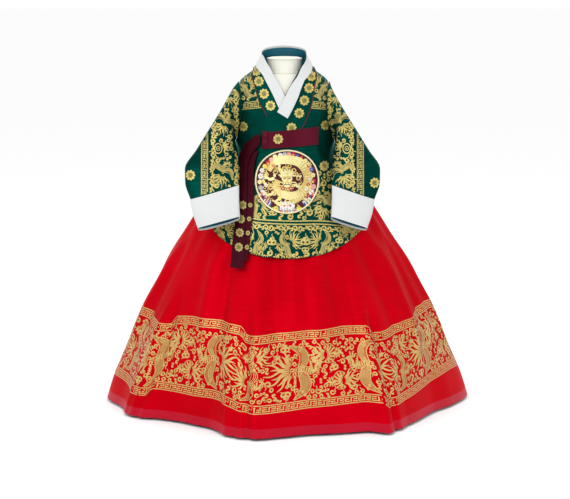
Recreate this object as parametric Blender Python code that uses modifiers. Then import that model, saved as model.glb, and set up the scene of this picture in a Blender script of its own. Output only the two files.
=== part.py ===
"""A girl's ceremonial hanbok: a green dangui jacket over a full red gathered skirt.

The set is filled out on a limbless dress form. Metres, +Z up, the front faces -Y and the
origin is the middle of the form's base on the floor. Angles run round the body from the
front (0 degrees) to the viewer's right (90 degrees).
"""
import math

import bpy
from mathutils import Vector

MM = 0.001
WALL = 1.0 * MM
LAYER = 1.85 * MM
SEAM = 0.5 * MM

# Where each layer's inner face lies, measured out from the body surface.
ON_FORM = -2.9 * MM
FIRST = 0.0
SECOND = FIRST + LAYER
THIRD = SECOND + LAYER
FOURTH = THIRD + LAYER
FIFTH = FOURTH + LAYER + 0.2 * MM
TIED = FOURTH + 0.9 * MM

# Body surface under the jacket: height, half width, half depth, centre x.
BODY = (
    (0.000, 0.382, 0.360, 0.000),
    (0.050, 0.366, 0.338, 0.000),
    (0.100, 0.344, 0.312, 0.000),
    (0.200, 0.301, 0.252, 0.000),
    (0.250, 0.273, 0.222, 0.000),
    (0.310, 0.240, 0.184, 0.000),
    (0.350, 0.215, 0.160, 0.000),
    (0.390, 0.190, 0.139, 0.000),
    (0.430, 0.163, 0.121, 0.000),
    (0.470, 0.130, 0.104, -0.001),
    (0.500, 0.109, 0.0915, -0.002),
    (0.520, 0.1025, 0.0855, -0.003),
    (0.560, 0.098, 0.0795, -0.005),
    (0.600, 0.097, 0.074, -0.006),
    (0.630, 0.0955, 0.065, -0.006),
    (0.648, 0.0925, 0.056, -0.006),
    (0.660, 0.0860, 0.050, -0.006),
    (0.670, 0.0735, 0.047, -0.006),
    (0.680, 0.0600, 0.045, -0.006),
    (0.693, 0.050, 0.043, -0.006),
    (0.710, 0.0410, 0.0410, -0.006),
    (0.740, 0.0390, 0.0400, -0.006),
)

# Form's torso: height, half width, half depth, centre x.
TORSO = (
    (0.250, 0.074, 0.060, 0.000),
    (0.265, 0.083, 0.068, 0.000),
    (0.320, 0.090, 0.076, 0.000),
    (0.380, 0.088, 0.072, 0.000),
    (0.440, 0.084, 0.068, 0.000),
    (0.490, 0.086, 0.071, -0.001),
    (0.515, 0.0900, 0.0760, -0.003),
    (0.535, 0.0935, 0.0757, -0.0045),
)
TORSO_TOP_RINGS = (0.560, 0.596, 0.630, 0.648, 0.657, 0.665, 0.673)
CHEST_SKIN = -3.8 * MM
SHOULDER_SKIN = -1.8 * MM
NECK_RADIUS = 0.0365
NECK_LOW = 0.6727
NECK_HIGH = 0.700
NECK_CAP = 0.006
NECK_CENTRE = -0.005
POLE_RADIUS = 0.0125
BASE_RADIUS = 0.130
BASE_HEIGHT = 0.012

# Skirt: folds at the hem, as angle and share of the body surface's radius.
HEM_FOLDS = (
    (-180, 0.900), (-168, 0.905), (-151, 1.000), (-135, 0.900), (-115, 0.975), (-100, 0.955),
    (-85, 0.990), (-70, 0.940), (-57, 0.968), (-50, 0.880), (-40, 0.838), (-29, 0.850),
    (-17, 0.965), (-11, 1.008), (-1, 0.945), (8, 0.902), (18, 0.910), (26, 0.926),
    (31, 1.006), (43, 0.928), (61, 0.880), (75, 0.935), (91, 1.000), (106, 0.945),
    (124, 0.992), (141, 0.880), (159, 0.975), (180, 0.900),
)
SKIRT_ROWS = (0.005, 0.045, 0.095, 0.150, 0.205, 0.260, 0.310, 0.355, 0.400, 0.440, 0.475, 0.502)
SKIRT_TOP = SKIRT_ROWS[-1]
SKIRT_INSET = 2.4 * MM
SKIRT_COLUMN_ANGLE = 3.6
FOLD_START = 0.335
FOLD_END = -0.02
# Gathers below the band: they deepen from the hem up and shrink again where the band draws them in.
PLEATS = 22
PLEAT_DEPTH = 4.2 * MM
PLEATS_FADE_IN = (0.17, 0.40)
PLEATS_DRAWN_IN = 0.44
PLEATS_AT_BAND = 0.45
SKIRT_SEAMS = (-125, -61, -5, 52, 115, 171)
BAND_HEIGHTS = (0.5070, 0.5240, 0.5410, 0.5570)
BAND_FRONT_ANGLE = 0.15
BAND_BACK_ANGLE = 178.0

# Jacket: hem at the centre, rise of its corners, armhole and side slit.
JACKET_ROWS = (0.319, 0.350, 0.385, 0.420, 0.450, 0.477, 0.502, 0.520, 0.536, 0.553, 0.571,
               0.584, 0.598, 0.618, 0.636, 0.648, 0.657, 0.665, 0.673, 0.680, 0.686)
HEM_CENTRE = 0.319
HEM_RISE = 0.0336
HEM_CORNER = 0.144
HEM_CURVE = 2.12
RISE_FADE = 0.16
ARMHOLE_MIDDLE = 0.595
ARMHOLE_HALF_HEIGHT = 0.060
ARMHOLE_HALF_DEPTH = 0.036
ARMHOLE_EASE = 0.6 * MM
SLEEVE_CLEARANCE = 2.3 * MM
# Side edge of the front and back panels: height and angle from the front.
SIDE_EDGE = ((0.319, 46.0), (0.370, 46.5), (0.400, 54.0), (0.430, 64.0), (0.470, 79.0),
             (0.500, 87.0), (0.530, 90.0), (0.700, 90.0))
# Front edges: height and x.
OVER_EDGE = ((0.319, -0.076), (0.450, -0.066), (0.545, -0.049), (0.570, -0.038), (0.600, 0.002),
             (0.630, 0.020), (0.660, 0.031), (0.680, 0.039), (0.700, 0.042))
UNDER_EDGE = ((0.319, -0.045), (0.450, -0.032), (0.545, -0.012), (0.575, -0.010), (0.600, -0.018),
              (0.630, -0.032), (0.660, -0.047), (0.680, -0.054), (0.700, -0.054))

# Collar stations: inner x, inner height, outer x, outer height. The right one laps over.
RIGHT_COLLAR = (
    (-0.0430, 0.5870, -0.0430, 0.5390),
    (-0.0305, 0.5925, -0.0210, 0.5410),
    (-0.0190, 0.5990, 0.0040, 0.5470),
    (-0.0105, 0.6155, 0.0215, 0.5600),
    (-0.0030, 0.6306, 0.0345, 0.5790),
    (0.0065, 0.6480, 0.0440, 0.6020),
    (0.0150, 0.6640, 0.0500, 0.6260),
    (0.0230, 0.6810, 0.0535, 0.6480),
    (0.0300, 0.6970, 0.0555, 0.6690),
)
LEFT_COLLAR = (
    (-0.0175, 0.6010, -0.0420, 0.5700),
    (-0.0110, 0.6170, -0.0440, 0.5930),
    (-0.0125, 0.6350, -0.0520, 0.6130),
    (-0.0190, 0.6530, -0.0590, 0.6340),
    (-0.0270, 0.6700, -0.0640, 0.6520),
    (-0.0345, 0.6850, -0.0680, 0.6660),
    (-0.0410, 0.7000, -0.0655, 0.6770),
)
# Where the front collars end beside the neck: inner angle, inner height, outer angle, outer height.
RIGHT_COLLAR_END = (78.0, 0.707, 80.0, 0.680)
LEFT_COLLAR_END = (-78.0, 0.710, -80.0, 0.681)
# The collar's stand round the back of the neck, in the same columns, to the middle of the back.
BACK_COLLAR = ((80.0, 0.7125, 82.0, 0.682), (108.0, 0.7160, 108.0, 0.681), (126.0, 0.7190, 126.0, 0.680),
               (144.0, 0.7210, 144.0, 0.679), (162.0, 0.7225, 162.0, 0.678), (180.0, 0.7230, 180.0, 0.678))
# Where a strip's rows lie, as shares of the collar from its outer to its inner edge.
COLLAR_ACROSS = (0.0, 0.25, 0.5, 0.75, 1.0)
EDGING_ACROSS = (0.56, 0.78, 1.03)
BACK_EDGING_ACROSS = (0.62, 0.80, 1.03)
COLLAR_EASE = 0.8 * MM

# Sleeves: inner x, y, z, outer x, y, z and half thickness, on a side of unit sign.
SLEEVE_RINGS = (
    (0.1050, -0.014, 0.5350, 0.0990, -0.012, 0.6430, 0.0330),
    (0.0985, -0.046, 0.5230, 0.1210, -0.034, 0.6030, 0.0260),
    (0.0950, -0.066, 0.5030, 0.1480, -0.056, 0.5600, 0.0215),
    (0.0935, -0.078, 0.4890, 0.1720, -0.072, 0.5220, 0.0185),
    (0.0930, -0.090, 0.4770, 0.1935, -0.090, 0.4880, 0.0155),
    (0.0930, -0.098, 0.4660, 0.1925, -0.102, 0.4600, 0.0135),
    (0.0925, -0.107, 0.4570, 0.1820, -0.113, 0.4295, 0.0120),
)
CUFF_RINGS = (
    (0.0930, -0.1075, 0.4562, 0.1825, -0.1135, 0.4287, 0.0125),
    (0.0925, -0.1240, 0.4300, 0.1770, -0.1200, 0.4020, 0.0122),
    (0.0905, -0.1400, 0.3965, 0.1665, -0.1280, 0.3725, 0.0125),
)
RING_POINTS = 16
INNER_SHIFT = -0.003
OUTER_SHIFT = -0.009

# Tie ribbon: each tail's height, centre x and half width, its end first.
FRONT_TAIL = ((0.298, -0.0955, 0.0132), (0.340, -0.0935, 0.0115), (0.380, -0.0900, 0.0103),
              (0.415, -0.0868, 0.0098), (0.455, -0.0852, 0.0090), (0.486, -0.0842, 0.0092),
              (0.511, -0.0782, 0.0108), (0.524, -0.0715, 0.0118), (0.533, -0.0655, 0.0145),
              (0.5445, -0.0588, 0.0080), (0.5525, -0.0550, 0.0045))
BACK_TAIL = ((0.312, -0.0870, 0.0108), (0.365, -0.0808, 0.0108), (0.420, -0.0745, 0.0108),
             (0.480, -0.0738, 0.0102), (0.508, -0.0685, 0.0095), (0.5195, -0.0620, 0.0080))
TAIL_ROWS = (0.298, 0.312, 0.340, 0.368, 0.396, 0.424, 0.455, 0.483, 0.505, 0.5195, 0.533, 0.543, 0.5525)
LOOP_LEFT = -0.0350
LOOP_RIGHT = 0.0585
LOOP_TOP = (0.5580, 0.5680)
LOOP_BOTTOM = (0.5255, 0.5325)
KNOT_WIDTH = 0.0120
KNOT_BOTTOM = 0.527
KNOT_TOP = 0.561
KNOT_THICK = 5.0 * MM

ROUNDEL_CENTRE = (0.000, 0.4620)
ROUNDEL_RADIUS = 0.0620
ROUNDEL_HEART = 0.0090
ROUNDEL_EASE = 0.35 * MM
ROUNDEL_SIDES = 32

COLOURS = {
    "jacket green silk": (0.004, 0.060, 0.042, 0.45, 0.0),
    "skirt red silk": (0.560, 0.003, 0.008, 0.40, 0.0),
    "white cuff cotton": (0.740, 0.760, 0.745, 0.80, 0.0),
    "wine ribbon": (0.075, 0.004, 0.012, 0.45, 0.0),
    "gold embroidery": (0.620, 0.400, 0.120, 0.45, 0.2),
    "form cover cloth": (0.780, 0.770, 0.700, 0.85, 0.0),
    "band cotton": (0.700, 0.680, 0.620, 0.85, 0.0),
    "stand steel": (0.550, 0.550, 0.560, 0.35, 0.9),
}


def smoothstep(low, high, value):
    share = min(1.0, max(0.0, (value - low) / (high - low)))
    return share * share * (3.0 - 2.0 * share)


def curve_through(rows, value, column=1):
    """A monotone curve through a table whose first column is the position."""
    last = len(rows) - 1
    if value <= rows[0][0]:
        return rows[0][column]
    if value >= rows[last][0]:
        return rows[last][column]
    spot = 0
    while rows[spot + 1][0] < value:
        spot += 1

    def slope(index):
        return (rows[index + 1][column] - rows[index][column]) / (rows[index + 1][0] - rows[index][0])

    def tangent(index):
        if index == 0:
            return slope(0)
        if index == last:
            return slope(last - 1)
        before = slope(index - 1)
        after = slope(index)
        if before * after <= 0.0:
            return 0.0
        return 2.0 * before * after / (before + after)

    width = rows[spot + 1][0] - rows[spot][0]
    t = (value - rows[spot][0]) / width
    start = rows[spot][column]
    end = rows[spot + 1][column]
    pull = tangent(spot) * width
    push = tangent(spot + 1) * width
    return (start * (2 * t**3 - 3 * t**2 + 1) + pull * (t**3 - 2 * t**2 + t)
            + end * (3 * t**2 - 2 * t**3) + push * (t**3 - t**2))


def section_point(table, angle, height):
    half_width = curve_through(table, height, 1)
    half_depth = curve_through(table, height, 2)
    centre = curve_through(table, height, 3)
    turn = math.radians(angle)
    return Vector((centre + half_width * math.sin(turn), -half_depth * math.cos(turn), height))


def body_point(angle, height, out=0.0):
    """A point on the body surface, moved out along its normal."""
    point = section_point(BODY, angle, height)
    if out == 0.0:
        return point
    along = section_point(BODY, angle + 1.0, height) - section_point(BODY, angle - 1.0, height)
    up = section_point(BODY, angle, height + 0.003) - section_point(BODY, angle, height - 0.003)
    return point + along.cross(up).normalized() * out


def angle_at(x, height):
    """The angle on the front of the body where the surface has this x."""
    half_width = curve_through(BODY, height, 1)
    centre = curve_through(BODY, height, 3)
    return math.degrees(math.asin(max(-1.0, min(1.0, (x - centre) / half_width))))


def new_material(name):
    red, green, blue, roughness, metallic = COLOURS[name]
    material = bpy.data.materials.new(name)
    material.use_nodes = True
    shader = material.node_tree.nodes["Principled BSDF"]
    shader.inputs["Base Color"].default_value = (red, green, blue, 1.0)
    shader.inputs["Roughness"].default_value = roughness
    shader.inputs["Metallic"].default_value = metallic
    return material


def mesh_object(name, points, faces, material_name):
    mesh = bpy.data.meshes.new(name)
    mesh.from_pydata(points, [], faces)
    mesh.shade_smooth()
    obj = bpy.data.objects.new(name, mesh)
    obj.data.materials.append(bpy.data.materials[material_name])
    bpy.data.collections["hanbok"].objects.link(obj)
    return obj


def cloth(name, rows, material_name, closed=False, wall=WALL):
    """A wall of cloth on the outside of rows of points, which are its inner face."""
    count = len(rows[0])
    points = [point for row in rows for point in row]
    steps = count if closed else count - 1
    faces = []
    for level in range(len(rows) - 1):
        for spot in range(steps):
            following = (spot + 1) % count
            low = level * count
            high = low + count
            faces.append((low + spot, low + following, high + following, high + spot))
    obj = mesh_object(name, points, faces, material_name)
    wall_maker = obj.modifiers.new("wall", "SOLIDIFY")
    wall_maker.thickness = wall
    wall_maker.offset = 1.0
    return obj


def span(start, end, count):
    return [start + (end - start) * step / (count - 1) for step in range(count)]


def form_torso():
    """The cloth-covered torso, a closed solid of rings."""
    sides = 30
    rings = []
    for height, _, _, _ in TORSO:
        rings.append([section_point(TORSO, 360.0 * side / sides, height) for side in range(sides)])
    for height in TORSO_TOP_RINGS:
        skin = CHEST_SKIN + (SHOULDER_SKIN - CHEST_SKIN) * smoothstep(0.58, 0.64, height)
        rings.append([body_point(360.0 * side / sides, height, skin) for side in range(sides)])
    points = [point for ring in rings for point in ring]
    faces = [tuple(reversed(range(sides)))]
    for level in range(len(rings) - 1):
        for side in range(sides):
            following = (side + 1) % sides
            low = level * sides
            high = low + sides
            faces.append((low + side, low + following, high + following, high + side))
    top = (len(rings) - 1) * sides
    faces.append(tuple(range(top, top + sides)))
    mesh_object("form_torso", points, faces, "form cover cloth")


def turned(name, profile, centre, material_name, sides=24):
    """A turned solid from an outer profile of radius and height, top to bottom."""
    rings = []
    for radius, height in profile:
        ring = []
        for side in range(sides):
            turn = 2.0 * math.pi * side / sides
            ring.append((centre + radius * math.sin(turn), -radius * math.cos(turn), height))
        rings.append(ring)
    points = [point for ring in rings for point in ring]
    faces = [tuple(range(sides))]
    for level in range(len(rings) - 1):
        for side in range(sides):
            following = (side + 1) % sides
            high = level * sides
            low = high + sides
            faces.append((low + side, low + following, high + following, high + side))
    bottom = (len(rings) - 1) * sides
    faces.append(tuple(reversed(range(bottom, bottom + sides))))
    return mesh_object(name, points, faces, material_name)


def form_neck_and_stand():
    rim = NECK_RADIUS
    turned("form_neck", ((rim - 0.001, NECK_HIGH), (rim - 0.0015, NECK_HIGH - 0.006),
                         (rim, NECK_LOW + 0.006), (rim + 0.0015, NECK_LOW)),
           NECK_CENTRE, "form cover cloth")
    low = NECK_HIGH + SEAM
    turned("form_neck_cap", ((rim * 0.30, low + NECK_CAP), (rim * 0.75, low + NECK_CAP * 0.85),
                             (rim - 0.0005, low + NECK_CAP * 0.45), (rim, low + 0.0005),
                             (rim - 0.001, low)), NECK_CENTRE, "form cover cloth")
    torso_low = TORSO[0][0]
    turned("form_pole", ((POLE_RADIUS, torso_low - SEAM), (POLE_RADIUS, BASE_HEIGHT + SEAM)),
           0.0, "stand steel", 16)
    turned("form_base", ((BASE_RADIUS - 0.004, BASE_HEIGHT), (BASE_RADIUS, BASE_HEIGHT - 0.003),
                         (BASE_RADIUS, 0.0)), 0.0, "stand steel", 32)


def fold_share(angle, height):
    """How far the large folds move the skirt in or out at an angle and height."""
    wrapped = (angle + 180.0) % 360.0 - 180.0
    growth = smoothstep(FOLD_START, FOLD_END, height) ** 0.85
    return 1.0 + (curve_through(HEM_FOLDS, wrapped) - 1.0) * growth


def skirt_point(angle, height):
    point = section_point(BODY, angle, height)
    centre = curve_through(BODY, height, 3)
    share = fold_share(angle, height)
    fade = smoothstep(PLEATS_FADE_IN[0], PLEATS_FADE_IN[1], height)
    near_band = PLEATS_AT_BAND + (1.0 - PLEATS_AT_BAND) * smoothstep(SKIRT_TOP, PLEATS_DRAWN_IN, height)
    drift = 7.0 * math.sin(math.radians(3.0 * angle + 40.0)) + 5.0 * math.sin(math.radians(5.0 * angle))
    wave = 0.5 - 0.5 * math.cos(math.radians(PLEATS * angle + 3.0 * drift))
    radius = math.hypot(point.x - centre, point.y)
    inset = WALL + SKIRT_INSET + PLEAT_DEPTH * wave * fade * near_band
    scale = share * (radius - inset) / radius
    return Vector((centre + (point.x - centre) * scale, point.y * scale, height))


def skirt():
    """Gathered skirt panels, seamed edge to edge all the way round."""
    for number, start in enumerate(SKIRT_SEAMS):
        end = SKIRT_SEAMS[(number + 1) % len(SKIRT_SEAMS)]
        if end <= start:
            end += 360
        columns = int(round((end - start) / SKIRT_COLUMN_ANGLE)) + 1
        rows = []
        for height in SKIRT_ROWS:
            half_seam = math.degrees(0.5 * SEAM / curve_through(BODY, height, 2))
            angles = span(start + half_seam, end - half_seam, columns)
            rows.append([skirt_point(angle, height) for angle in angles])
        cloth("skirt_panel_%d" % (number + 1), rows, "skirt red silk")


def chest_band():
    """The skirt's chest band, open at the back where it laps and ties."""
    for name, start, end in (("skirt_band_right", BAND_FRONT_ANGLE, BAND_BACK_ANGLE),
                             ("skirt_band_left", -BAND_BACK_ANGLE, -BAND_FRONT_ANGLE)):
        rows = [[body_point(angle, height, ON_FORM) for angle in span(start, end, 15)]
                for height in BAND_HEIGHTS]
        cloth(name, rows, "band cotton")


def over_lift(x):
    """The over-front lies one layer out where the under-front is beneath it."""
    return LAYER * (1.0 - smoothstep(0.020, 0.048, x))


def side_angle(height):
    """The angle of a panel's side edge, cut back round the armhole."""
    edge = curve_through(SIDE_EDGE, height)
    reach = abs(height - ARMHOLE_MIDDLE) / ARMHOLE_HALF_HEIGHT
    if reach < 1.0:
        depth = ARMHOLE_HALF_DEPTH * math.sqrt(1.0 - reach * reach)
        share = min(0.95, depth / curve_through(BODY, height, 2))
        edge = min(edge, math.degrees(math.acos(share)))
    seam = math.degrees(0.5 * SEAM / curve_through(BODY, height, 2))
    return edge - seam


def hem_lift(x, level):
    rise = HEM_RISE * (abs(x) / HEM_CORNER) ** HEM_CURVE
    return min(rise, HEM_RISE * 1.4) * (1.0 - smoothstep(HEM_CENTRE, HEM_CENTRE + RISE_FADE, level))


def lifted(angle, level):
    """The height of a panel's row at an angle, with the hem's rise towards the corners."""
    x = section_point(BODY, angle, level).x
    return level + hem_lift(x, level)


def front_panels():
    columns = 13
    over_rows = []
    under_rows = []
    for level in JACKET_ROWS:
        left = angle_at(curve_through(OVER_EDGE, level), level)
        right = side_angle(level)
        row = []
        for angle in span(left, right, columns):
            height = lifted(angle, level)
            x = section_point(BODY, angle, height).x
            row.append(body_point(angle, height, FIRST + over_lift(x)))
        over_rows.append(row)
        left = -side_angle(level)
        right = angle_at(curve_through(UNDER_EDGE, level), level)
        row = [body_point(angle, lifted(angle, level), FIRST) for angle in span(left, right, 10)]
        under_rows.append(row)
    cloth("jacket_front_over", over_rows, "jacket green silk")
    cloth("jacket_front_under", under_rows, "jacket green silk")


def back_panels():
    for name, sign in (("jacket_back_right", 1), ("jacket_back_left", -1)):
        rows = []
        for level in JACKET_ROWS:
            seam = math.degrees(0.5 * SEAM / curve_through(BODY, level, 2))
            start = 180.0 - side_angle(level)
            angles = span(start, 180.0 - seam, 12)
            if sign < 0:
                angles = [360.0 - angle for angle in reversed(angles)]
            rows.append([body_point(angle, lifted(angle, level), FIRST) for angle in angles])
        cloth(name, rows, "jacket green silk")


def armhole_ring(sign):
    """The sleeve's first ring, which follows the rim of the armhole on the body."""
    ring = []
    for spot in range(RING_POINTS):
        turn = 2.0 * math.pi * spot / RING_POINTS
        height = ARMHOLE_MIDDLE + (ARMHOLE_HALF_HEIGHT + ARMHOLE_EASE) * math.cos(turn)
        depth = -(ARMHOLE_HALF_DEPTH + ARMHOLE_EASE) * math.sin(turn)
        half_width = curve_through(BODY, height, 1)
        half_depth = curve_through(BODY, height, 2)
        centre = curve_through(BODY, height, 3)
        out = half_width * math.sqrt(max(0.0, 1.0 - (depth / half_depth) ** 2))
        ring.append(Vector((centre + sign * (out + SLEEVE_CLEARANCE), depth, height)))
    return ring


def flat_ring(row, sign):
    """A flattened ring from its inner edge, outer edge and half thickness."""
    inner = Vector((sign * row[0] + INNER_SHIFT, row[1], row[2]))
    outer = Vector((sign * row[3] + OUTER_SHIFT, row[4], row[5]))
    middle = (inner + outer) / 2.0
    reach = (outer - inner) / 2.0
    thick = Vector((0.0, 1.0, 0.0))
    thick = (thick - reach * (thick.dot(reach) / reach.length_squared)).normalized()
    ring = []
    for spot in range(RING_POINTS):
        turn = 2.0 * math.pi * spot / RING_POINTS
        bulge = math.sin(turn)
        bulge = math.copysign(abs(bulge) ** 0.85, bulge)
        ring.append(middle + reach * math.cos(turn) - thick * (row[6] * bulge))
    return ring


def tube(name, rings, sign, material_name):
    """A tube of cloth round rings, open at both ends."""
    if sign < 0:
        rings = [list(reversed(ring)) for ring in rings]
    cloth(name, rings, material_name, closed=True)


def sleeves_and_cuffs():
    for side, sign in (("right", 1), ("left", -1)):
        rings = [armhole_ring(sign)]
        rings += [flat_ring(row, sign) for row in SLEEVE_RINGS]
        tube("sleeve_" + side, rings, sign, "jacket green silk")
        tube("cuff_" + side, [flat_ring(row, sign) for row in CUFF_RINGS], sign, "white cuff cotton")


def front_stations(table, end):
    """A front collar's stations as inner angle, inner height, outer angle and outer height."""
    stations = []
    for inner_x, inner_z, outer_x, outer_z in table:
        stations.append((angle_at(inner_x, inner_z), inner_z, angle_at(outer_x, outer_z), outer_z))
    stations.append(end)
    return stations


def back_stations():
    stations = list(BACK_COLLAR)
    for inner_angle, inner_z, outer_angle, outer_z in reversed(BACK_COLLAR[:-1]):
        stations.append((360.0 - inner_angle, inner_z, 360.0 - outer_angle, outer_z))
    return stations


def collar_strip(name, stations, across, layer_of, material_name):
    """A strip of cloth along the collar; across runs from the outer to the inner edge."""
    rows = []
    for share in across:
        row = []
        for inner_angle, inner_z, outer_angle, outer_z in stations:
            angle = outer_angle + (inner_angle - outer_angle) * share
            height = outer_z + (inner_z - outer_z) * share
            x = section_point(BODY, angle, height).x
            row.append(body_point(angle, height, layer_of(x)))
        rows.append(row)
    cloth(name, rows, material_name)


def collar():
    def on_under(x):
        return SECOND + COLLAR_EASE

    def on_over(x):
        return SECOND + COLLAR_EASE + over_lift(x)

    def on_left_collar(x):
        return THIRD + COLLAR_EASE

    def on_right_collar(x):
        return THIRD + COLLAR_EASE + over_lift(x)

    right = front_stations(RIGHT_COLLAR, RIGHT_COLLAR_END)
    left = list(reversed(front_stations(LEFT_COLLAR, LEFT_COLLAR_END)))
    back = back_stations()
    collar_strip("collar_right", right, COLLAR_ACROSS, on_over, "jacket green silk")
    collar_strip("collar_left", left, COLLAR_ACROSS, on_under, "jacket green silk")
    collar_strip("collar_back", back, COLLAR_ACROSS, on_under, "jacket green silk")
    collar_strip("collar_edging_right", right[2:], EDGING_ACROSS, on_right_collar, "white cuff cotton")
    collar_strip("collar_edging_left", left[:-1], EDGING_ACROSS, on_left_collar, "white cuff cotton")
    collar_strip("collar_edging_back", back, BACK_EDGING_ACROSS, on_left_collar, "white cuff cotton")


def ribbon_tail(name, table, layer):
    rows = []
    for height in TAIL_ROWS:
        if height < table[0][0] or height > table[-1][0]:
            continue
        x = curve_through(table, height, 1)
        half_width = curve_through(table, height, 2)
        row = []
        for share in (-1.0, -0.34, 0.34, 1.0):
            row.append(body_point(angle_at(x + share * half_width, height), height, layer))
        rows.append(row)
    cloth(name, rows, "wine ribbon")


def tie_ribbon():
    """The chest tie: one loop lying across, a knot and two hanging tails."""
    rows = []
    for share in span(0.0, 1.0, 4):
        row = []
        for along in span(0.0, 1.0, 8):
            x = LOOP_LEFT + (LOOP_RIGHT - LOOP_LEFT) * along
            low = LOOP_BOTTOM[0] + (LOOP_BOTTOM[1] - LOOP_BOTTOM[0]) * along
            high = LOOP_TOP[0] + (LOOP_TOP[1] - LOOP_TOP[0]) * along
            height = low + (high - low) * share
            row.append(body_point(angle_at(x, height), height, TIED))
        rows.append(row)
    cloth("tie_loop", rows, "wine ribbon", wall=2.0 * WALL)
    rows = []
    for share in span(0.0, 1.0, 4):
        height = KNOT_BOTTOM + (KNOT_TOP - KNOT_BOTTOM) * share
        row = []
        for along in span(0.0, 1.0, 4):
            x = LOOP_LEFT - SEAM - KNOT_WIDTH * (1.0 - along)
            row.append(body_point(angle_at(x, height), height, TIED))
        rows.append(row)
    cloth("tie_knot", rows, "wine ribbon", wall=KNOT_THICK)
    ribbon_tail("tie_tail_front", FRONT_TAIL, FIFTH)
    ribbon_tail("tie_tail_back", BACK_TAIL, FOURTH)


def roundel():
    """The embroidered roundel, a disc laid on the over-front."""
    centre_x, centre_z = ROUNDEL_CENTRE
    rows = []
    for radius in span(ROUNDEL_RADIUS, ROUNDEL_HEART, 5):
        row = []
        for side in range(ROUNDEL_SIDES):
            turn = 2.0 * math.pi * side / ROUNDEL_SIDES
            x = centre_x + radius * math.sin(turn)
            height = centre_z - radius * math.cos(turn)
            row.append(body_point(angle_at(x, height), height, THIRD + ROUNDEL_EASE))
        rows.append(row)
    count = ROUNDEL_SIDES
    points = [point for row in rows for point in row]
    faces = []
    for level in range(len(rows) - 1):
        for side in range(count):
            following = (side + 1) % count
            outer = level * count
            inner = outer + count
            faces.append((outer + side, outer + following, inner + following, inner + side))
    start = (len(rows) - 1) * count
    faces.append(tuple(range(start, start + count)))
    obj = mesh_object("chest_roundel", points, faces, "gold embroidery")
    wall_maker = obj.modifiers.new("wall", "SOLIDIFY")
    wall_maker.thickness = WALL
    wall_maker.offset = 1.0


def build():
    for obj in list(bpy.data.objects):
        bpy.data.objects.remove(obj)
    collection = bpy.data.collections.new("hanbok")
    bpy.context.scene.collection.children.link(collection)
    for name in COLOURS:
        new_material(name)
    form_torso()
    form_neck_and_stand()
    skirt()
    chest_band()
    back_panels()
    front_panels()
    sleeves_and_cuffs()
    collar()
    tie_ribbon()
    roundel()


build()
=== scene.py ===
"""Looks for the korean hanbok on a dress form: cloth shells, woven gold patterns and materials.

Metres, +Z up, the garment's front faces -Y. Angles run round the body from the front to the
viewer's right, in degrees. Patterns are drawn flat in millimetres and laid on the cloth.
"""
import math
import random

import bpy
import numpy as np
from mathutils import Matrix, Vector
from mathutils.bvhtree import BVHTree
from mathutils.kdtree import KDTree


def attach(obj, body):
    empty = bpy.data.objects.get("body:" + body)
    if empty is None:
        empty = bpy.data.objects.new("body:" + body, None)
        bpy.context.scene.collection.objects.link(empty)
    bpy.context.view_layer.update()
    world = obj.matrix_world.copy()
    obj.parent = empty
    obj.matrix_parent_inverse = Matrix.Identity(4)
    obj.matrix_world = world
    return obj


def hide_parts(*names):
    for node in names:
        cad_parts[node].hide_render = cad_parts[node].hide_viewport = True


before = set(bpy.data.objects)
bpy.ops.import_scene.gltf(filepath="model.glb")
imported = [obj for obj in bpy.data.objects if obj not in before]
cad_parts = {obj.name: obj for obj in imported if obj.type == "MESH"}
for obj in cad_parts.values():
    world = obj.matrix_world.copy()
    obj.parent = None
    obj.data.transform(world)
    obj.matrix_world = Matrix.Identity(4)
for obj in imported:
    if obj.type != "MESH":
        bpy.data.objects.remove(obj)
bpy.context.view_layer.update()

MM = 0.001
WALL = 1.0 * MM
LAYER = 1.85 * MM
SEAM = 0.5 * MM
SEWN_GAP = 0.01 * MM
FIRST = 0.0
SECOND = FIRST + LAYER
THIRD = SECOND + LAYER
FOURTH = THIRD + LAYER
FIFTH = FOURTH + LAYER + 0.2 * MM
TIED = FOURTH + 0.9 * MM
COLLAR_EASE = 0.8 * MM
ROUNDEL_EASE = 0.35 * MM

# Body surface under the jacket: height, half width, half depth, centre x.
BODY = (
    (0.000, 0.382, 0.360, 0.000), (0.050, 0.366, 0.338, 0.000), (0.100, 0.344, 0.312, 0.000),
    (0.200, 0.301, 0.252, 0.000), (0.250, 0.273, 0.222, 0.000), (0.310, 0.240, 0.184, 0.000),
    (0.350, 0.215, 0.160, 0.000), (0.390, 0.190, 0.139, 0.000), (0.430, 0.163, 0.121, 0.000),
    (0.470, 0.130, 0.104, -0.001), (0.500, 0.109, 0.0915, -0.002), (0.520, 0.1025, 0.0855, -0.003),
    (0.560, 0.098, 0.0795, -0.005), (0.600, 0.097, 0.074, -0.006), (0.630, 0.0955, 0.065, -0.006),
    (0.648, 0.0925, 0.056, -0.006), (0.660, 0.0860, 0.050, -0.006), (0.670, 0.0735, 0.047, -0.006),
    (0.680, 0.0600, 0.045, -0.006), (0.693, 0.050, 0.043, -0.006), (0.710, 0.0410, 0.0410, -0.006),
    (0.740, 0.0390, 0.0400, -0.006),
)
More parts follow.
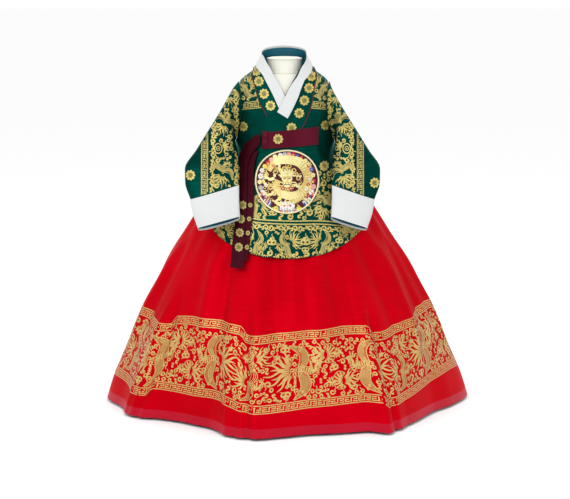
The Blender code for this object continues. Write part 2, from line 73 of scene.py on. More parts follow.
# Skirt: folds at the hem, as angle and share of the body surface's radius.
HEM_FOLDS = (
    (-180, 0.900), (-168, 0.905), (-151, 1.000), (-135, 0.900), (-115, 0.975), (-100, 0.955),
    (-85, 0.990), (-70, 0.940), (-57, 0.968), (-50, 0.880), (-40, 0.838), (-29, 0.850),
    (-17, 0.965), (-11, 1.008), (-1, 0.945), (8, 0.902), (18, 0.910), (26, 0.926),
    (31, 1.006), (43, 0.928), (61, 0.880), (75, 0.935), (91, 1.000), (106, 0.945),
    (124, 0.992), (141, 0.880), (159, 0.975), (180, 0.900),
)
SKIRT_HEM = 0.005
HEM_STRIP_TOP = 0.021
SKIRT_TOP = 0.502
SKIRT_INSET = 2.4 * MM
FOLD_START = 0.335
FOLD_END = -0.02
FOLD_POWER = 0.85
PLEATS = 22
PLEAT_END = 0.17
PLEAT_FULL = 0.40
PLEAT_DEPTH = 4.2 * MM
# Rows of the skirt's grid: lowest height, highest height and count.
SKIRT_ROWS = ((SKIRT_HEM, HEM_STRIP_TOP, 4), (0.028, 0.30, 36), (0.308, SKIRT_TOP, 22))
SKIRT_SEAMS = (-125, -61, -5, 52, 115, 171)

HEM_CENTRE = 0.319
HEM_RISE = 0.0336
HEM_CORNER = 0.144
HEM_CURVE = 2.12
RISE_FADE = 0.16
JACKET_TOP = 0.686
ARMHOLE_MIDDLE = 0.595
ARMHOLE_HALF_HEIGHT = 0.060
ARMHOLE_HALF_DEPTH = 0.036
SIDE_EDGE = ((0.319, 46.0), (0.370, 46.5), (0.400, 54.0), (0.430, 64.0), (0.470, 79.0),
             (0.500, 87.0), (0.530, 90.0), (0.700, 90.0))
OVER_EDGE = ((0.319, -0.076), (0.450, -0.066), (0.545, -0.049), (0.570, -0.038), (0.600, 0.002),
             (0.630, 0.020), (0.660, 0.031), (0.680, 0.039), (0.700, 0.042))
UNDER_EDGE = ((0.319, -0.045), (0.450, -0.032), (0.545, -0.012), (0.575, -0.010), (0.600, -0.018),
              (0.630, -0.032), (0.660, -0.047), (0.680, -0.054), (0.700, -0.054))

# Collar stations: inner x, inner height, outer x, outer height.
RIGHT_COLLAR = (
    (-0.0430, 0.5870, -0.0430, 0.5390), (-0.0305, 0.5925, -0.0210, 0.5410),
    (-0.0190, 0.5990, 0.0040, 0.5470), (-0.0105, 0.6155, 0.0215, 0.5600),
    (-0.0030, 0.6306, 0.0345, 0.5790), (0.0065, 0.6480, 0.0440, 0.6020),
    (0.0150, 0.6640, 0.0500, 0.6260), (0.0230, 0.6810, 0.0535, 0.6480),
    (0.0300, 0.6970, 0.0555, 0.6690),
)
LEFT_COLLAR = (
    (-0.0175, 0.6010, -0.0350, 0.5700), (-0.0110, 0.6170, -0.0400, 0.5930),
    (-0.0125, 0.6350, -0.0520, 0.6130), (-0.0190, 0.6530, -0.0590, 0.6340),
    (-0.0270, 0.6700, -0.0640, 0.6520), (-0.0345, 0.6850, -0.0680, 0.6660),
    (-0.0410, 0.7000, -0.0655, 0.6770),
)
# White edging over the front collars, in the same columns.
RIGHT_EDGING = (
    (-0.0189, 0.5979, 0.0010, 0.5856), (-0.0118, 0.6110, 0.0108, 0.6040), (-0.0045, 0.6255, 0.0198, 0.6229),
    (0.0110, 0.6530, 0.0334, 0.6577), (0.0260, 0.6829, 0.0469, 0.6925),
)
LEFT_EDGING = (
    (0.0020, 0.6180, -0.0100, 0.5960), (-0.0040, 0.6270, -0.0159, 0.6060), (-0.0180, 0.6550, -0.0309, 0.6369),
    (-0.0323, 0.6840, -0.0457, 0.6668), (-0.0439, 0.7068, -0.0583, 0.6925),
)
# Where the front pieces end beside the neck: inner angle and height, outer angle and height.
COLLAR_ENDS = {"right": (78.0, 0.707, 80.0, 0.680), "left": (-78.0, 0.710, -80.0, 0.681)}
EDGING_ENDS = {"right": (78.0, 0.707, 82.0, 0.696), "left": (-78.0, 0.710, -82.0, 0.697)}
# The collar's stand round the back of the neck: angle, inner height, outer height.
NECK_COLLAR = ((92, 0.7125, 0.682), (108, 0.7160, 0.681), (126, 0.7190, 0.680),
               (144, 0.7210, 0.679), (162, 0.7225, 0.678), (180, 0.7230, 0.678))

# Sleeves: inner x, y, z, outer x, y, z and half thickness, on a side of unit sign.
SLEEVE_RINGS = (
    (0.1050, -0.014, 0.5350, 0.0990, -0.012, 0.6430, 0.0330),
    (0.0985, -0.046, 0.5230, 0.1210, -0.034, 0.6030, 0.0260),
    (0.0950, -0.066, 0.5030, 0.1480, -0.056, 0.5600, 0.0215),
    (0.0935, -0.078, 0.4890, 0.1720, -0.072, 0.5220, 0.0185),
    (0.0930, -0.090, 0.4770, 0.1935, -0.090, 0.4880, 0.0155),
    (0.0930, -0.098, 0.4660, 0.1925, -0.102, 0.4600, 0.0135),
    (0.0925, -0.107, 0.4570, 0.1820, -0.113, 0.4295, 0.0120),
)
CUFF_RINGS = (
    (0.0930, -0.1075, 0.4562, 0.1825, -0.1135, 0.4287, 0.0125),
    (0.0925, -0.1240, 0.4300, 0.1770, -0.1200, 0.4020, 0.0122),
    (0.0905, -0.1400, 0.3965, 0.1665, -0.1280, 0.3725, 0.0125),
)
INNER_SHIFT = -0.003
OUTER_SHIFT = -0.009
# How far the cuff's back lip hangs and its front lip is drawn up, which shows the lining.
CUFF_BACK_DROP = 9.5 * MM
CUFF_FRONT_RISE = 2.5 * MM

FRONT_TAIL = ((0.298, -0.0955, 0.0132), (0.340, -0.0935, 0.0115), (0.380, -0.0900, 0.0103),
              (0.415, -0.0868, 0.0098), (0.455, -0.0852, 0.0090), (0.486, -0.0842, 0.0092),
              (0.511, -0.0782, 0.0108), (0.524, -0.0715, 0.0118), (0.533, -0.0655, 0.0145),
              (0.5445, -0.0588, 0.0080), (0.5525, -0.0550, 0.0045))
BACK_TAIL = ((0.312, -0.0870, 0.0108), (0.365, -0.0808, 0.0108), (0.420, -0.0745, 0.0108),
             (0.480, -0.0738, 0.0102), (0.508, -0.0685, 0.0095), (0.5195, -0.0620, 0.0080))
LOOP_LEFT = -0.0350
LOOP_RIGHT = 0.0585
LOOP_TOP = (0.5580, 0.5680)
LOOP_BOTTOM = (0.5255, 0.5325)
KNOT_WIDTH = 0.0105
KNOT_SPREAD = 0.0020
KNOT_BOTTOM = 0.5265
KNOT_TOP = 0.5610
KNOT_RISE = 4.0 * MM

ROUNDEL_CENTRE = (0.000, 0.4620)
ROUNDEL_RADIUS = 0.0620


def smoothstep(low, high, value):
    share = np.clip((np.asarray(value, float) - low) / (high - low), 0.0, 1.0)
    return share * share * (3.0 - 2.0 * share)


def monotone(rows, value, column):
    """A monotone curve through a table whose first column is the position."""
    last = len(rows) - 1
    if value <= rows[0][0]:
        return rows[0][column]
    if value >= rows[last][0]:
        return rows[last][column]
    spot = 0
    while rows[spot + 1][0] < value:
        spot += 1

    def slope(index):
        return (rows[index + 1][column] - rows[index][column]) / (rows[index + 1][0] - rows[index][0])

    def tangent(index):
        if index == 0:
            return slope(0)
        if index == last:
            return slope(last - 1)
        before = slope(index - 1)
        after = slope(index)
        if before * after <= 0.0:
            return 0.0
        return 2.0 * before * after / (before + after)

    width = rows[spot + 1][0] - rows[spot][0]
    t = (value - rows[spot][0]) / width
    pull = tangent(spot) * width
    push = tangent(spot + 1) * width
    return (rows[spot][column] * (2 * t**3 - 3 * t**2 + 1) + pull * (t**3 - 2 * t**2 + t)
            + rows[spot + 1][column] * (3 * t**2 - 2 * t**3) + push * (t**3 - t**2))


CURVE_SAMPLES = 1200


def curve(rows, column=1):
    """The monotone curve as a fast function of whole arrays."""
    places = np.linspace(rows[0][0], rows[-1][0], CURVE_SAMPLES)
    values = np.array([monotone(rows, place, column) for place in places])
    return lambda value: np.interp(value, places, values)


half_width = curve(BODY)
half_depth = curve(BODY, 2)
centre_x = curve(BODY, 3)
hem_fold = curve(HEM_FOLDS)
side_edge = curve(SIDE_EDGE)
over_edge = curve(OVER_EDGE)
under_edge = curve(UNDER_EDGE)


def section(angle, height):
    angle = np.asarray(angle, float)
    height = np.asarray(height, float)
    angle, height = np.broadcast_arrays(angle, height)
    turn = np.radians(angle)
    return np.stack([centre_x(height) + half_width(height) * np.sin(turn),
                     -half_depth(height) * np.cos(turn), height], axis=-1)


def unit(vectors):
    length = np.linalg.norm(vectors, axis=-1, keepdims=True)
    return vectors / np.maximum(length, 1e-12)


def lengths_along(points):
    """The way from the first point to each point, measured along them."""
    return np.concatenate([[0.0], np.cumsum(np.linalg.norm(np.diff(points, axis=0), axis=-1))])


def body(angle, height, out=0.0):
    """Points on the body surface, moved out along its normal."""
    point = section(angle, height)
    along = section(np.asarray(angle) + 1.0, height) - section(np.asarray(angle) - 1.0, height)
    up = section(angle, np.asarray(height) + 0.003) - section(angle, np.asarray(height) - 0.003)
    out = np.asarray(out, float) + jacket_crease(point)
    return point + unit(np.cross(along, up)) * out[..., None]


def angle_at(x, height):
    share = (np.asarray(x, float) - centre_x(height)) / half_width(height)
    return np.degrees(np.arcsin(np.clip(share, -1.0, 1.0)))


# Creases: soft troughs (negative) and ridges, uneven in length, depth and spacing.
# On the skirt: angle and height (mm) of the upper end and the lower end, half width and depth (mm).
SKIRT_CREASES = (
    (-50.5, 240, -56.5, 0, 9.0, -9.4), (-54.0, 250, -63.0, 0, 11.0, 4.5), (-16.0, 245, -11.5, 0, 9.0, -8.8),
    (-23.5, 260, -19.0, 0, 12.0, 5.4), (34.0, 250, 34.5, 0, 9.0, -8.8), (30.0, 255, 30.5, 0, 12.0, 3.9),
    (-38.0, 372, -34.0, 120, 17.0, 8.4), (-30.0, 365, -26.5, 165, 13.0, -7.0),
    (-66.0, 372, -70.0, 140, 15.0, -7.4), (-74.0, 360, -79.0, 90, 14.0, 7.9),
    (-7.0, 350, -4.0, 130, 18.0, -9.8), (3.0, 345, 4.0, 175, 14.0, 5.1), (12.0, 350, 13.0, 60, 19.0, 7.9),
    (20.0, 352, 22.5, 150, 13.0, -7.0), (28.0, 362, 26.0, 205, 12.0, -6.0),
    (43.0, 368, 47.0, 130, 16.0, -7.9), (55.0, 372, 60.0, 60, 17.0, 8.4),
    (66.0, 370, 69.0, 150, 14.0, -7.0), (80.0, 365, 84.0, 70, 15.0, 7.0), (94.0, 245, 98.0, 0, 9.5, -8.8),
    (104.0, 370, 112.0, 80, 17.0, 7.9), (118.0, 362, 120.0, 150, 14.0, -7.9),
    (129.0, 250, 126.0, 0, 10.0, -9.2), (138.0, 370, 146.0, 60, 18.0, 7.4),
    (155.0, 365, 153.0, 130, 15.0, -7.0), (163.0, 240, 165.0, 0, 9.5, -8.8),
    (174.0, 370, 172.0, 90, 16.0, 8.4), (-92.0, 250, -90.0, 0, 9.5, -9.0),
    (-102.0, 368, -108.0, 60, 17.0, 7.4), (-118.0, 365, -122.0, 140, 14.0, -7.4),
    (-131.0, 370, -133.0, 40, 17.0, 7.9), (-144.0, 245, -147.0, 0, 9.5, -9.0),
    (-160.0, 366, -157.0, 110, 16.0, 7.9), (-172.0, 365, -170.0, 70, 15.0, -8.4),
)
# On the jacket and all that lies on it: x and height of both ends, half width and depth, in mm.
JACKET_CREASES = {
    "front": (
        (-104, 552, -50, 588, 7.0, -1.7), (-100, 538, -58, 562, 6.0, 1.5), (-96, 515, -62, 548, 7.0, -1.7),
        (-84, 600, -64, 560, 8.0, -1.1), (92, 556, 46, 594, 7.0, -1.6), (92, 540, 60, 566, 6.0, 1.4),
        (52, 540, 74, 486, 5.5, 2.2), (62, 552, 88, 468, 7.0, -1.8), (94, 520, 78, 440, 8.0, -1.6),
        (-98, 500, -84, 440, 8.0, -1.6), (84, 604, 60, 570, 8.0, 1.0), (66, 478, 60, 430, 7.0, 1.4),
        (-128, 330, -100, 412, 10.0, -2.0), (-92, 300, -84, 405, 10.0, 1.9), (-58, 290, -54, 398, 9.0, -1.7),
        (-24, 290, -26, 388, 9.0, 1.6), (8, 290, 6, 396, 9.0, -1.6), (40, 290, 36, 384, 9.0, 1.8),
        (74, 290, 66, 404, 10.0, -1.8), (104, 310, 90, 410, 9.0, 2.0), (134, 330, 106, 402, 9.0, -2.0),
    ),
    "back": (
        (-100, 556, -48, 592, 7.0, -1.7), (-92, 536, -52, 566, 7.0, 1.5), (94, 554, 50, 590, 7.0, -1.6),
        (88, 534, 46, 560, 6.0, 1.4), (-50, 520, -20, 552, 8.0, -1.3), (52, 512, 18, 548, 8.0, -1.4),
        (-62, 612, -24, 640, 8.0, 1.2), (58, 610, 28, 644, 8.0, 1.2), (-124, 330, -96, 430, 10.0, -2.0),
        (-90, 300, -78, 420, 10.0, 1.9), (-56, 290, -46, 440, 9.0, -1.7), (-22, 290, -18, 400, 9.0, 1.6),
        (12, 290, 10, 430, 9.0, -1.6), (46, 290, 38, 410, 9.0, 1.8), (80, 300, 68, 430, 10.0, -1.8),
        (116, 320, 94, 420, 9.0, 2.0),
    ),
}
# On a sleeve or cuff of the viewer's right side, in the same columns.
SLEEVE_CREASES = {
    "front": (
        (98, 566, 132, 586, 6.5, -1.8), (96, 546, 128, 558, 6.0, 1.5), (94, 518, 122, 540, 6.5, -1.6),
        (170, 506, 128, 492, 7.5, -1.7), (172, 482, 132, 472, 6.5, 1.5), (104, 498, 132, 506, 6.0, 1.2),
        (150, 540, 140, 500, 8.0, -1.2), (112, 628, 132, 590, 8.0, 1.4), (168, 462, 126, 450, 6.0, -1.3),
    ),
    "back": (
        (96, 560, 140, 574, 6.5, -1.8), (98, 540, 134, 548, 6.0, 1.6), (178, 500, 130, 488, 7.5, -1.8),
        (166, 474, 126, 466, 6.5, 1.5), (108, 610, 134, 584, 8.0, -1.4), (104, 508, 136, 514, 6.5, 1.2),
    ),
}
CUFF_CREASES = {
    "front": ((96, 426, 128, 414, 6.0, -0.9), (168, 404, 136, 396, 7.0, 1.0), (112, 440, 120, 392, 8.0, 0.7)),
    "back": ((98, 430, 134, 420, 6.0, -0.9), (166, 410, 128, 398, 7.0, 0.9)),
}


# The share of its length over which a crease rises at each end.
CREASE_FADE = 0.3


def skirt_crease(angle, height):
    """How far the listed creases move the skirt out, in metres."""
    wrapped = (angle + 180.0) % 360.0 - 180.0
    metres_per_degree = (half_width(height) + half_depth(height)) / 2.0 * math.pi / 180.0
    total = np.zeros(np.shape(wrapped))
    for high_angle, high, low_angle, low, width, depth in SKIRT_CREASES:
        share = (high * MM - height) / ((high - low) * MM)
        middle = high_angle + (low_angle - high_angle) * share
        apart = (wrapped - middle) * metres_per_degree / (width * MM)
        fade = smoothstep(0.0, CREASE_FADE, share)
        if low > 0:
            fade = fade * smoothstep(1.0, 1.0 - CREASE_FADE, share)
        total = total + depth * MM * np.exp(-apart * apart) * fade
    return total


def crease_depth(table, x, height):
    """How far the creases of a table move a place out, in metres."""
    total = np.zeros(np.shape(x))
    for first_x, first, last_x, last, width, depth in table:
        reach_x = (last_x - first_x) * MM
        reach = (last - first) * MM
        length = math.hypot(reach_x, reach)
        along = ((x - first_x * MM) * reach_x + (height - first * MM) * reach) / (length * length)
        apart = ((x - first_x * MM) * reach - (height - first * MM) * reach_x) / (length * width * MM)
        fade = smoothstep(0.0, CREASE_FADE, along) * smoothstep(1.0, 1.0 - CREASE_FADE, along)
        total = total + depth * MM * np.exp(-apart * apart) * fade
    return total


def jacket_crease(point):
    """Creases of the jacket at points of the body surface; they fade out under the arms."""
    front = crease_depth(JACKET_CREASES["front"], point[..., 0], point[..., 2])
    back = crease_depth(JACKET_CREASES["back"], point[..., 0], point[..., 2])
    facing = np.abs(point[..., 1]) / half_depth(point[..., 2])
    return np.where(point[..., 1] < 0.0, front, back) * smoothstep(0.15, 0.50, facing)


def creased_tube(points, tables, sign):
    """A tube of cloth with the creases of its front and back."""
    along = np.gradient(points, axis=0)
    around = np.roll(points, -1, axis=1) - np.roll(points, 1, axis=1)
    out = unit(np.cross(around, along))
    middle = points.mean(axis=1, keepdims=True)
    out = out * np.sign(((points - middle) * out).sum(axis=-1, keepdims=True).mean())
    x = points[..., 0] * sign
    front = crease_depth(tables["front"], x, points[..., 2])
    back = crease_depth(tables["back"], x, points[..., 2])
    depth = np.where(points[..., 1] < middle[..., 1], front, back)
    facing = smoothstep(0.0, 0.4, np.abs(out[..., 1]))
    ends = smoothstep(0.0, 3.0, np.arange(len(points)))[:, None]
    return points + out * (depth * facing * ends)[..., None]


# Materials

def new_material(name, **values):
    """A material with one principled shader: gives the material, its node tree and the shader."""
    material = bpy.data.materials.new(name)
    material.use_nodes = True
    tree = material.node_tree
    tree.nodes.clear()
    output = node(tree, "ShaderNodeOutputMaterial")
    shader = node(tree, "ShaderNodeBsdfPrincipled", **values)
    tree.links.new(shader.outputs["BSDF"], output.inputs["Surface"])
    return material, tree, shader


def node(tree, kind, **values):
    """A new node; a value named like one of its inputs goes to the input, another to the node."""
    made = tree.nodes.new(kind)
    for key, value in values.items():
        name = key.replace("_", " ")
        if name in made.inputs:
            made.inputs[name].default_value = value
        else:
            setattr(made, key, value)
    return made


def noise(tree, source, scale, detail, stretch=None):
    """Noise over a coordinate, stretched by one scale for each axis where stretch is given."""
    if stretch:
        mapping = node(tree, "ShaderNodeMapping", Scale=stretch)
        tree.links.new(source, mapping.inputs["Vector"])
        source = mapping.outputs["Vector"]
    texture = node(tree, "ShaderNodeTexNoise", Scale=scale, Detail=detail)
    tree.links.new(source, texture.inputs["Vector"])
    return texture.outputs["Fac"]


def object_place(tree):
    return node(tree, "ShaderNodeTexCoord").outputs["Object"]


def add_bump(tree, shader, height, strength, distance):
    bump = node(tree, "ShaderNodeBump", Strength=strength, Distance=distance)
    tree.links.new(height, bump.inputs["Height"])
    tree.links.new(bump.outputs["Normal"], shader.inputs["Normal"])


def add_colours(tree, shader, factor, shade, colour, low=0.0, high=1.0):
    """A base colour that goes from shade to colour as the factor goes from low to high."""
    ramp = node(tree, "ShaderNodeValToRGB")
    for element, position, tone in zip(ramp.color_ramp.elements, (low, high), (shade, colour)):
        element.position = position
        element.color = (*tone, 1.0)
    tree.links.new(factor, ramp.inputs["Fac"])
    tree.links.new(ramp.outputs["Color"], shader.inputs["Base Color"])


WEAVE_HEIGHT = 0.0004
RIB_HEIGHT = 0.0003
PATCH_SCALE = 9.0
SLUB_STRETCH = (14.0, 620.0, 1.0)
RIB_STRETCH = (500.0, 500.0, 1600.0)


def cloth_material(name, colour, shade, roughness, sheen=0.0, tint=(1.0, 1.0, 1.0), gloss=0.25, satin=0.0,
                   weave=1500.0, weave_depth=0.12, slub=0.0, sheen_tint=None):
    """Woven cloth: warp and weft in bump, slubs across, and soft patches of colour that are partly the
    cloth's own uneven tone and partly painted light and shade.
    """
    material, tree, shader = new_material(
        name, Roughness=roughness, Metallic=satin, Sheen_Weight=sheen, Sheen_Roughness=0.35,
        Sheen_Tint=(*(sheen_tint or tint), 1.0), Specular_IOR_Level=gloss, Specular_Tint=(*tint, 1.0))
    place = node(tree, "ShaderNodeUVMap").outputs["UV"]
    threads = node(tree, "ShaderNodeMath", operation="ADD")
    for number, stretch in enumerate(((weave, weave * 0.12, 1.0), (weave * 0.12, weave, 1.0))):
        tree.links.new(noise(tree, place, 1.0, 1.0, stretch), threads.inputs[number])
    add_bump(tree, shader, threads.outputs[0], weave_depth, WEAVE_HEIGHT)
    patches = noise(tree, object_place(tree), PATCH_SCALE, 2.0)
    if slub > 0.0:
        blend = node(tree, "ShaderNodeMix", Factor=slub)
        tree.links.new(patches, blend.inputs["A"])
        tree.links.new(noise(tree, place, 1.0, 2.0, SLUB_STRETCH), blend.inputs["B"])
        patches = blend.outputs["Result"]
    # Noise swings the base colour at random between colour, a lit tone, and shade, a painted shade tone.
    add_colours(tree, shader, patches, shade, colour, 0.30, 0.72)
    return material


def gold_material(name, colour, shade):
    """Flat gold thread woven in, with fine ribs across the stitches."""
    material, tree, shader = new_material(name, Roughness=0.42, Metallic=0.35, Sheen_Weight=0.15)
    ribs = noise(tree, object_place(tree), 1.0, 1.0, RIB_STRETCH)
    add_bump(tree, shader, ribs, 0.35, RIB_HEIGHT)
    add_colours(tree, shader, ribs, shade, colour, 0.35, 0.65)
    return material


def steel_material(name):
    material, tree, shader = new_material(name, Metallic=0.9)
    brushed = noise(tree, object_place(tree), 180.0, 3.0)
    add_colours(tree, shader, brushed, (0.42, 0.42, 0.43), (0.62, 0.62, 0.63))
    rough = node(tree, "ShaderNodeMapRange", To_Min=0.25, To_Max=0.45)
    tree.links.new(brushed, rough.inputs["Value"])
    tree.links.new(rough.outputs["Result"], shader.inputs["Roughness"])
    return material


def make_materials():
    red_tint = (1.0, 0.03, 0.08)
    pink_tint = (1.0, 0.2, 0.3)
    green_tint = (0.05, 1.0, 0.8)
    wine_tint = (1.0, 0.15, 0.3)
    wine_sheen = (1.0, 0.15, 0.25)
    made = {
        "skirt": cloth_material("skirt red silk", (0.54, 0.0, 0.008), (0.40, 0.0, 0.004), 0.50,
                                sheen=0.05, tint=red_tint, slub=0.5, gloss=0.06, satin=0.30),
        "hem": cloth_material("skirt hem fold", (0.46, 0.006, 0.024), (0.36, 0.003, 0.012), 0.50,
                              sheen=0.10, tint=pink_tint, slub=0.5, gloss=0.3),
        "jacket": cloth_material("jacket green silk", (0.0, 0.052, 0.038), (0.0, 0.016, 0.012), 0.38,
                                 sheen=0.04, tint=green_tint, slub=0.4, gloss=0.10, satin=0.45),
        "lining": cloth_material("teal lining", (0.003, 0.105, 0.150), (0.002, 0.075, 0.115), 0.45),
        "white": cloth_material("white cotton", (0.610, 0.625, 0.622), (0.560, 0.576, 0.574), 0.80,
                                weave_depth=0.25),
        "wine": cloth_material("wine ribbon silk", (0.052, 0.001, 0.006), (0.024, 0.001, 0.003), 0.42,
                               sheen=0.06, sheen_tint=wine_sheen, tint=wine_tint, gloss=0.5),
        # The tails' wine is the same ribbon silk darkened: painted shade for the shadow the tails hang in
        # beside the sleeves.
        "shaded wine": cloth_material("shaded wine ribbon silk", (0.030, 0.0006, 0.0035),
                                    (0.014, 0.0006, 0.002), 0.42, sheen=0.03,
                                    sheen_tint=wine_sheen, tint=wine_tint),
        "piping": cloth_material("dark red piping", (0.085, 0.004, 0.010), (0.055, 0.002, 0.006), 0.5),
        "olive": cloth_material("olive thread", (0.205, 0.180, 0.045), (0.140, 0.120, 0.026), 0.5),
        "cover": cloth_material("form cover jersey", (0.76, 0.755, 0.67), (0.70, 0.695, 0.61), 0.85,
                                weave_depth=0.3),
        "band": cloth_material("band cotton", (0.72, 0.70, 0.64), (0.66, 0.64, 0.58), 0.85),
        "ground": cloth_material("roundel maroon ground", (0.070, 0.003, 0.008),
                                 (0.040, 0.002, 0.005), 0.6),
        "thread": cloth_material("dark green thread", (0.0, 0.024, 0.016), (0.0, 0.014, 0.010), 0.5),
        "steel": steel_material("stand steel"),
    }
    for key, (name, colour, shade) in GOLDS.items():
        made[key] = gold_material(name, colour, shade)
    for name, colour in THREAD_COLOURS.items():
        shade = tuple(0.7 * part for part in colour)
        made["thread " + name] = cloth_material(name + " embroidery thread", colour, shade, 0.45,
                                                weave=900.0, weave_depth=0.3)
    return made


# Gold threads: name, colour and shade.
GOLDS = {
    "gold": ("woven gold", (0.64, 0.53, 0.15), (0.33, 0.26, 0.06)),
    "soft gold": ("woven gold in shade", (0.40, 0.33, 0.11), (0.26, 0.20, 0.05)),
    "skirt gold": ("woven gold on red", (0.62, 0.44, 0.14), (0.42, 0.26, 0.06)),
    "skirt soft gold": ("woven gold on red in shade", (0.44, 0.23, 0.06), (0.34, 0.15, 0.03)),
    "thread cord": ("pale gold cord", (0.86, 0.78, 0.50), (0.66, 0.56, 0.30)),
    "thread gold": ("roundel gold thread", (0.62, 0.45, 0.13), (0.42, 0.28, 0.06)),
    "thread cream": ("roundel pale gold thread", (0.78, 0.70, 0.34), (0.58, 0.50, 0.19)),
}
THREAD_COLOURS = {
    "white": (0.78, 0.76, 0.74), "red": (0.48, 0.015, 0.020), "blue": (0.045, 0.075, 0.34),
    "grey": (0.36, 0.40, 0.42), "pink": (0.72, 0.30, 0.30), "yellow": (0.76, 0.68, 0.10),
    "orange": (0.62, 0.30, 0.04), "black": (0.030, 0.008, 0.008),
}


MATERIALS = make_materials()


# Cloth shells

def grid_mesh(name, points, closed=False):
    """A mesh over a grid of points, with a UV map in metres along its rows and columns."""
    levels, count = points.shape[:2]
    steps = count if closed else count - 1
    level, spot = np.meshgrid(np.arange(levels - 1), np.arange(steps), indexing="ij")
    following = (spot + 1) % count
    faces = np.stack([level * count + spot, level * count + following,
                      (level + 1) * count + following, (level + 1) * count + spot], axis=-1)
    mesh = bpy.data.meshes.new(name)
    mesh.from_pydata(points.reshape(-1, 3).tolist(), [], faces.reshape(-1, 4).tolist())
    middle = points[levels // 2]
    across = lengths_along(middle)
    if closed:
        across = np.append(across, across[-1] + np.linalg.norm(middle[0] - middle[-1]))
    column = points[:, count // 2]
    along = lengths_along(column)
    layer = mesh.uv_layers.new(name="UVMap")
    u = np.stack([across[spot], across[spot + 1], across[spot + 1], across[spot]], axis=-1)
    v = np.stack([along[level], along[level], along[level + 1], along[level + 1]], axis=-1)
    layer.data.foreach_set("uv", np.stack([u, v], axis=-1).reshape(-1).astype(np.float32))
    mesh.shade_smooth()
    return mesh


def link_piece(name, mesh, nodes=()):
    obj = bpy.data.objects.new(name, mesh)
    bpy.context.scene.collection.objects.link(obj)
    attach(obj, "root")
    if nodes:
        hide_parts(*nodes)
    return obj


def shell(name, points, material, nodes=(), closed=False, wall=WALL, inside=None,
          border=None):
    """A thin cloth shell on a grid; border is (first row, last row, outer, inner)."""
    obj = link_piece(name, grid_mesh(name, points, closed), nodes)
    obj.data.materials.append(MATERIALS[material])
    obj.data.materials.append(MATERIALS[inside or material])
    if border:
        first, last, border_outside, border_inside = border
        obj.data.materials.append(MATERIALS[border_outside])
        obj.data.materials.append(MATERIALS[border_inside])
        row_faces = len(obj.data.polygons) // (len(points) - 1)
        rows = np.arange(len(obj.data.polygons)) // row_faces
        obj.data.polygons.foreach_set("material_index", np.where((rows >= first) & (rows < last), 2, 0))
    wall_maker = obj.modifiers.new("wall", "SOLIDIFY")
    wall_maker.thickness = wall
    wall_maker.offset = 1.0
    wall_maker.use_quality_normals = True
    wall_maker.material_offset = 1
    crisp_rim = obj.modifiers.new("crisp rim", "EDGE_SPLIT")
    crisp_rim.split_angle = math.radians(55.0)
    rows = np.linalg.norm(np.diff(points, axis=1), axis=-1).sum(axis=1)
    if closed:
        rows = rows + np.linalg.norm(points[:, 0] - points[:, -1], axis=-1)
    return obj


def skirt_points(angle, height):
    """The gathered skirt with its large folds, which grow to the hem."""
    angle, height = np.broadcast_arrays(np.asarray(angle, float), np.asarray(height, float))
    point = section(angle, height)
    middle = centre_x(height)
    wrapped = (angle + 180.0) % 360.0 - 180.0
    growth = smoothstep(FOLD_START, FOLD_END, height) ** FOLD_POWER
    share = 1.0 + (hem_fold(wrapped) - 1.0) * growth
    fade = smoothstep(PLEAT_END, PLEAT_FULL, height)
    near_band = 0.45 + 0.55 * smoothstep(SKIRT_TOP, 0.44, height)
    drift = 7.0 * np.sin(np.radians(3.0 * angle + 40.0)) + 5.0 * np.sin(np.radians(5.0 * angle))
    wave = 0.5 - 0.5 * np.cos(np.radians(PLEATS * angle + 3.0 * drift))
    radius = np.hypot(point[..., 0] - middle, point[..., 1])
    inset = WALL + SKIRT_INSET + PLEAT_DEPTH * wave * fade * near_band - skirt_crease(angle, height)
    scale = share * (radius - inset) / radius
    return np.stack([middle + (point[..., 0] - middle) * scale, point[..., 1] * scale, height], axis=-1)


def make_skirt():
    heights = np.concatenate([np.linspace(*rows) for rows in SKIRT_ROWS])
    for number, start in enumerate(SKIRT_SEAMS):
        end = SKIRT_SEAMS[(number + 1) % len(SKIRT_SEAMS)]
        if end <= start:
            end += 360
        half_seam = np.degrees(0.5 * SEWN_GAP / half_depth(heights))[:, None]
        share = np.linspace(0.0, 1.0, int(end - start) * 2 + 1)[None, :]
        angles = (start + half_seam) * (1.0 - share) + (end - half_seam) * share
        points = skirt_points(angles, heights[:, None])
        name = "skirt_panel_%d" % (number + 1)
        shell("skirt_cloth_%d" % (number + 1), points, "skirt", (name,),
              border=(0, SKIRT_ROWS[0][2] - 1, "hem", "skirt"))


def over_lift(x):
    return LAYER * (1.0 - smoothstep(0.020, 0.048, x))


def side_angle(height):
    edge = side_edge(height)
    reach = np.minimum(np.abs(height - ARMHOLE_MIDDLE) / ARMHOLE_HALF_HEIGHT, 1.0)
    depth = ARMHOLE_HALF_DEPTH * np.sqrt(1.0 - reach * reach)
    share = np.minimum(0.95, depth / half_depth(height))
    edge = np.where(reach < 1.0, np.minimum(edge, np.degrees(np.arccos(share))), edge)
    return edge - np.degrees(0.5 * SEAM / half_depth(height))


def lifted(angle, level):
    x = section(angle, level)[..., 0]
    rise = np.minimum(HEM_RISE * (np.abs(x) / HEM_CORNER) ** HEM_CURVE, HEM_RISE * 1.4)
    return level + rise * (1.0 - smoothstep(HEM_CENTRE, HEM_CENTRE + RISE_FADE, level))


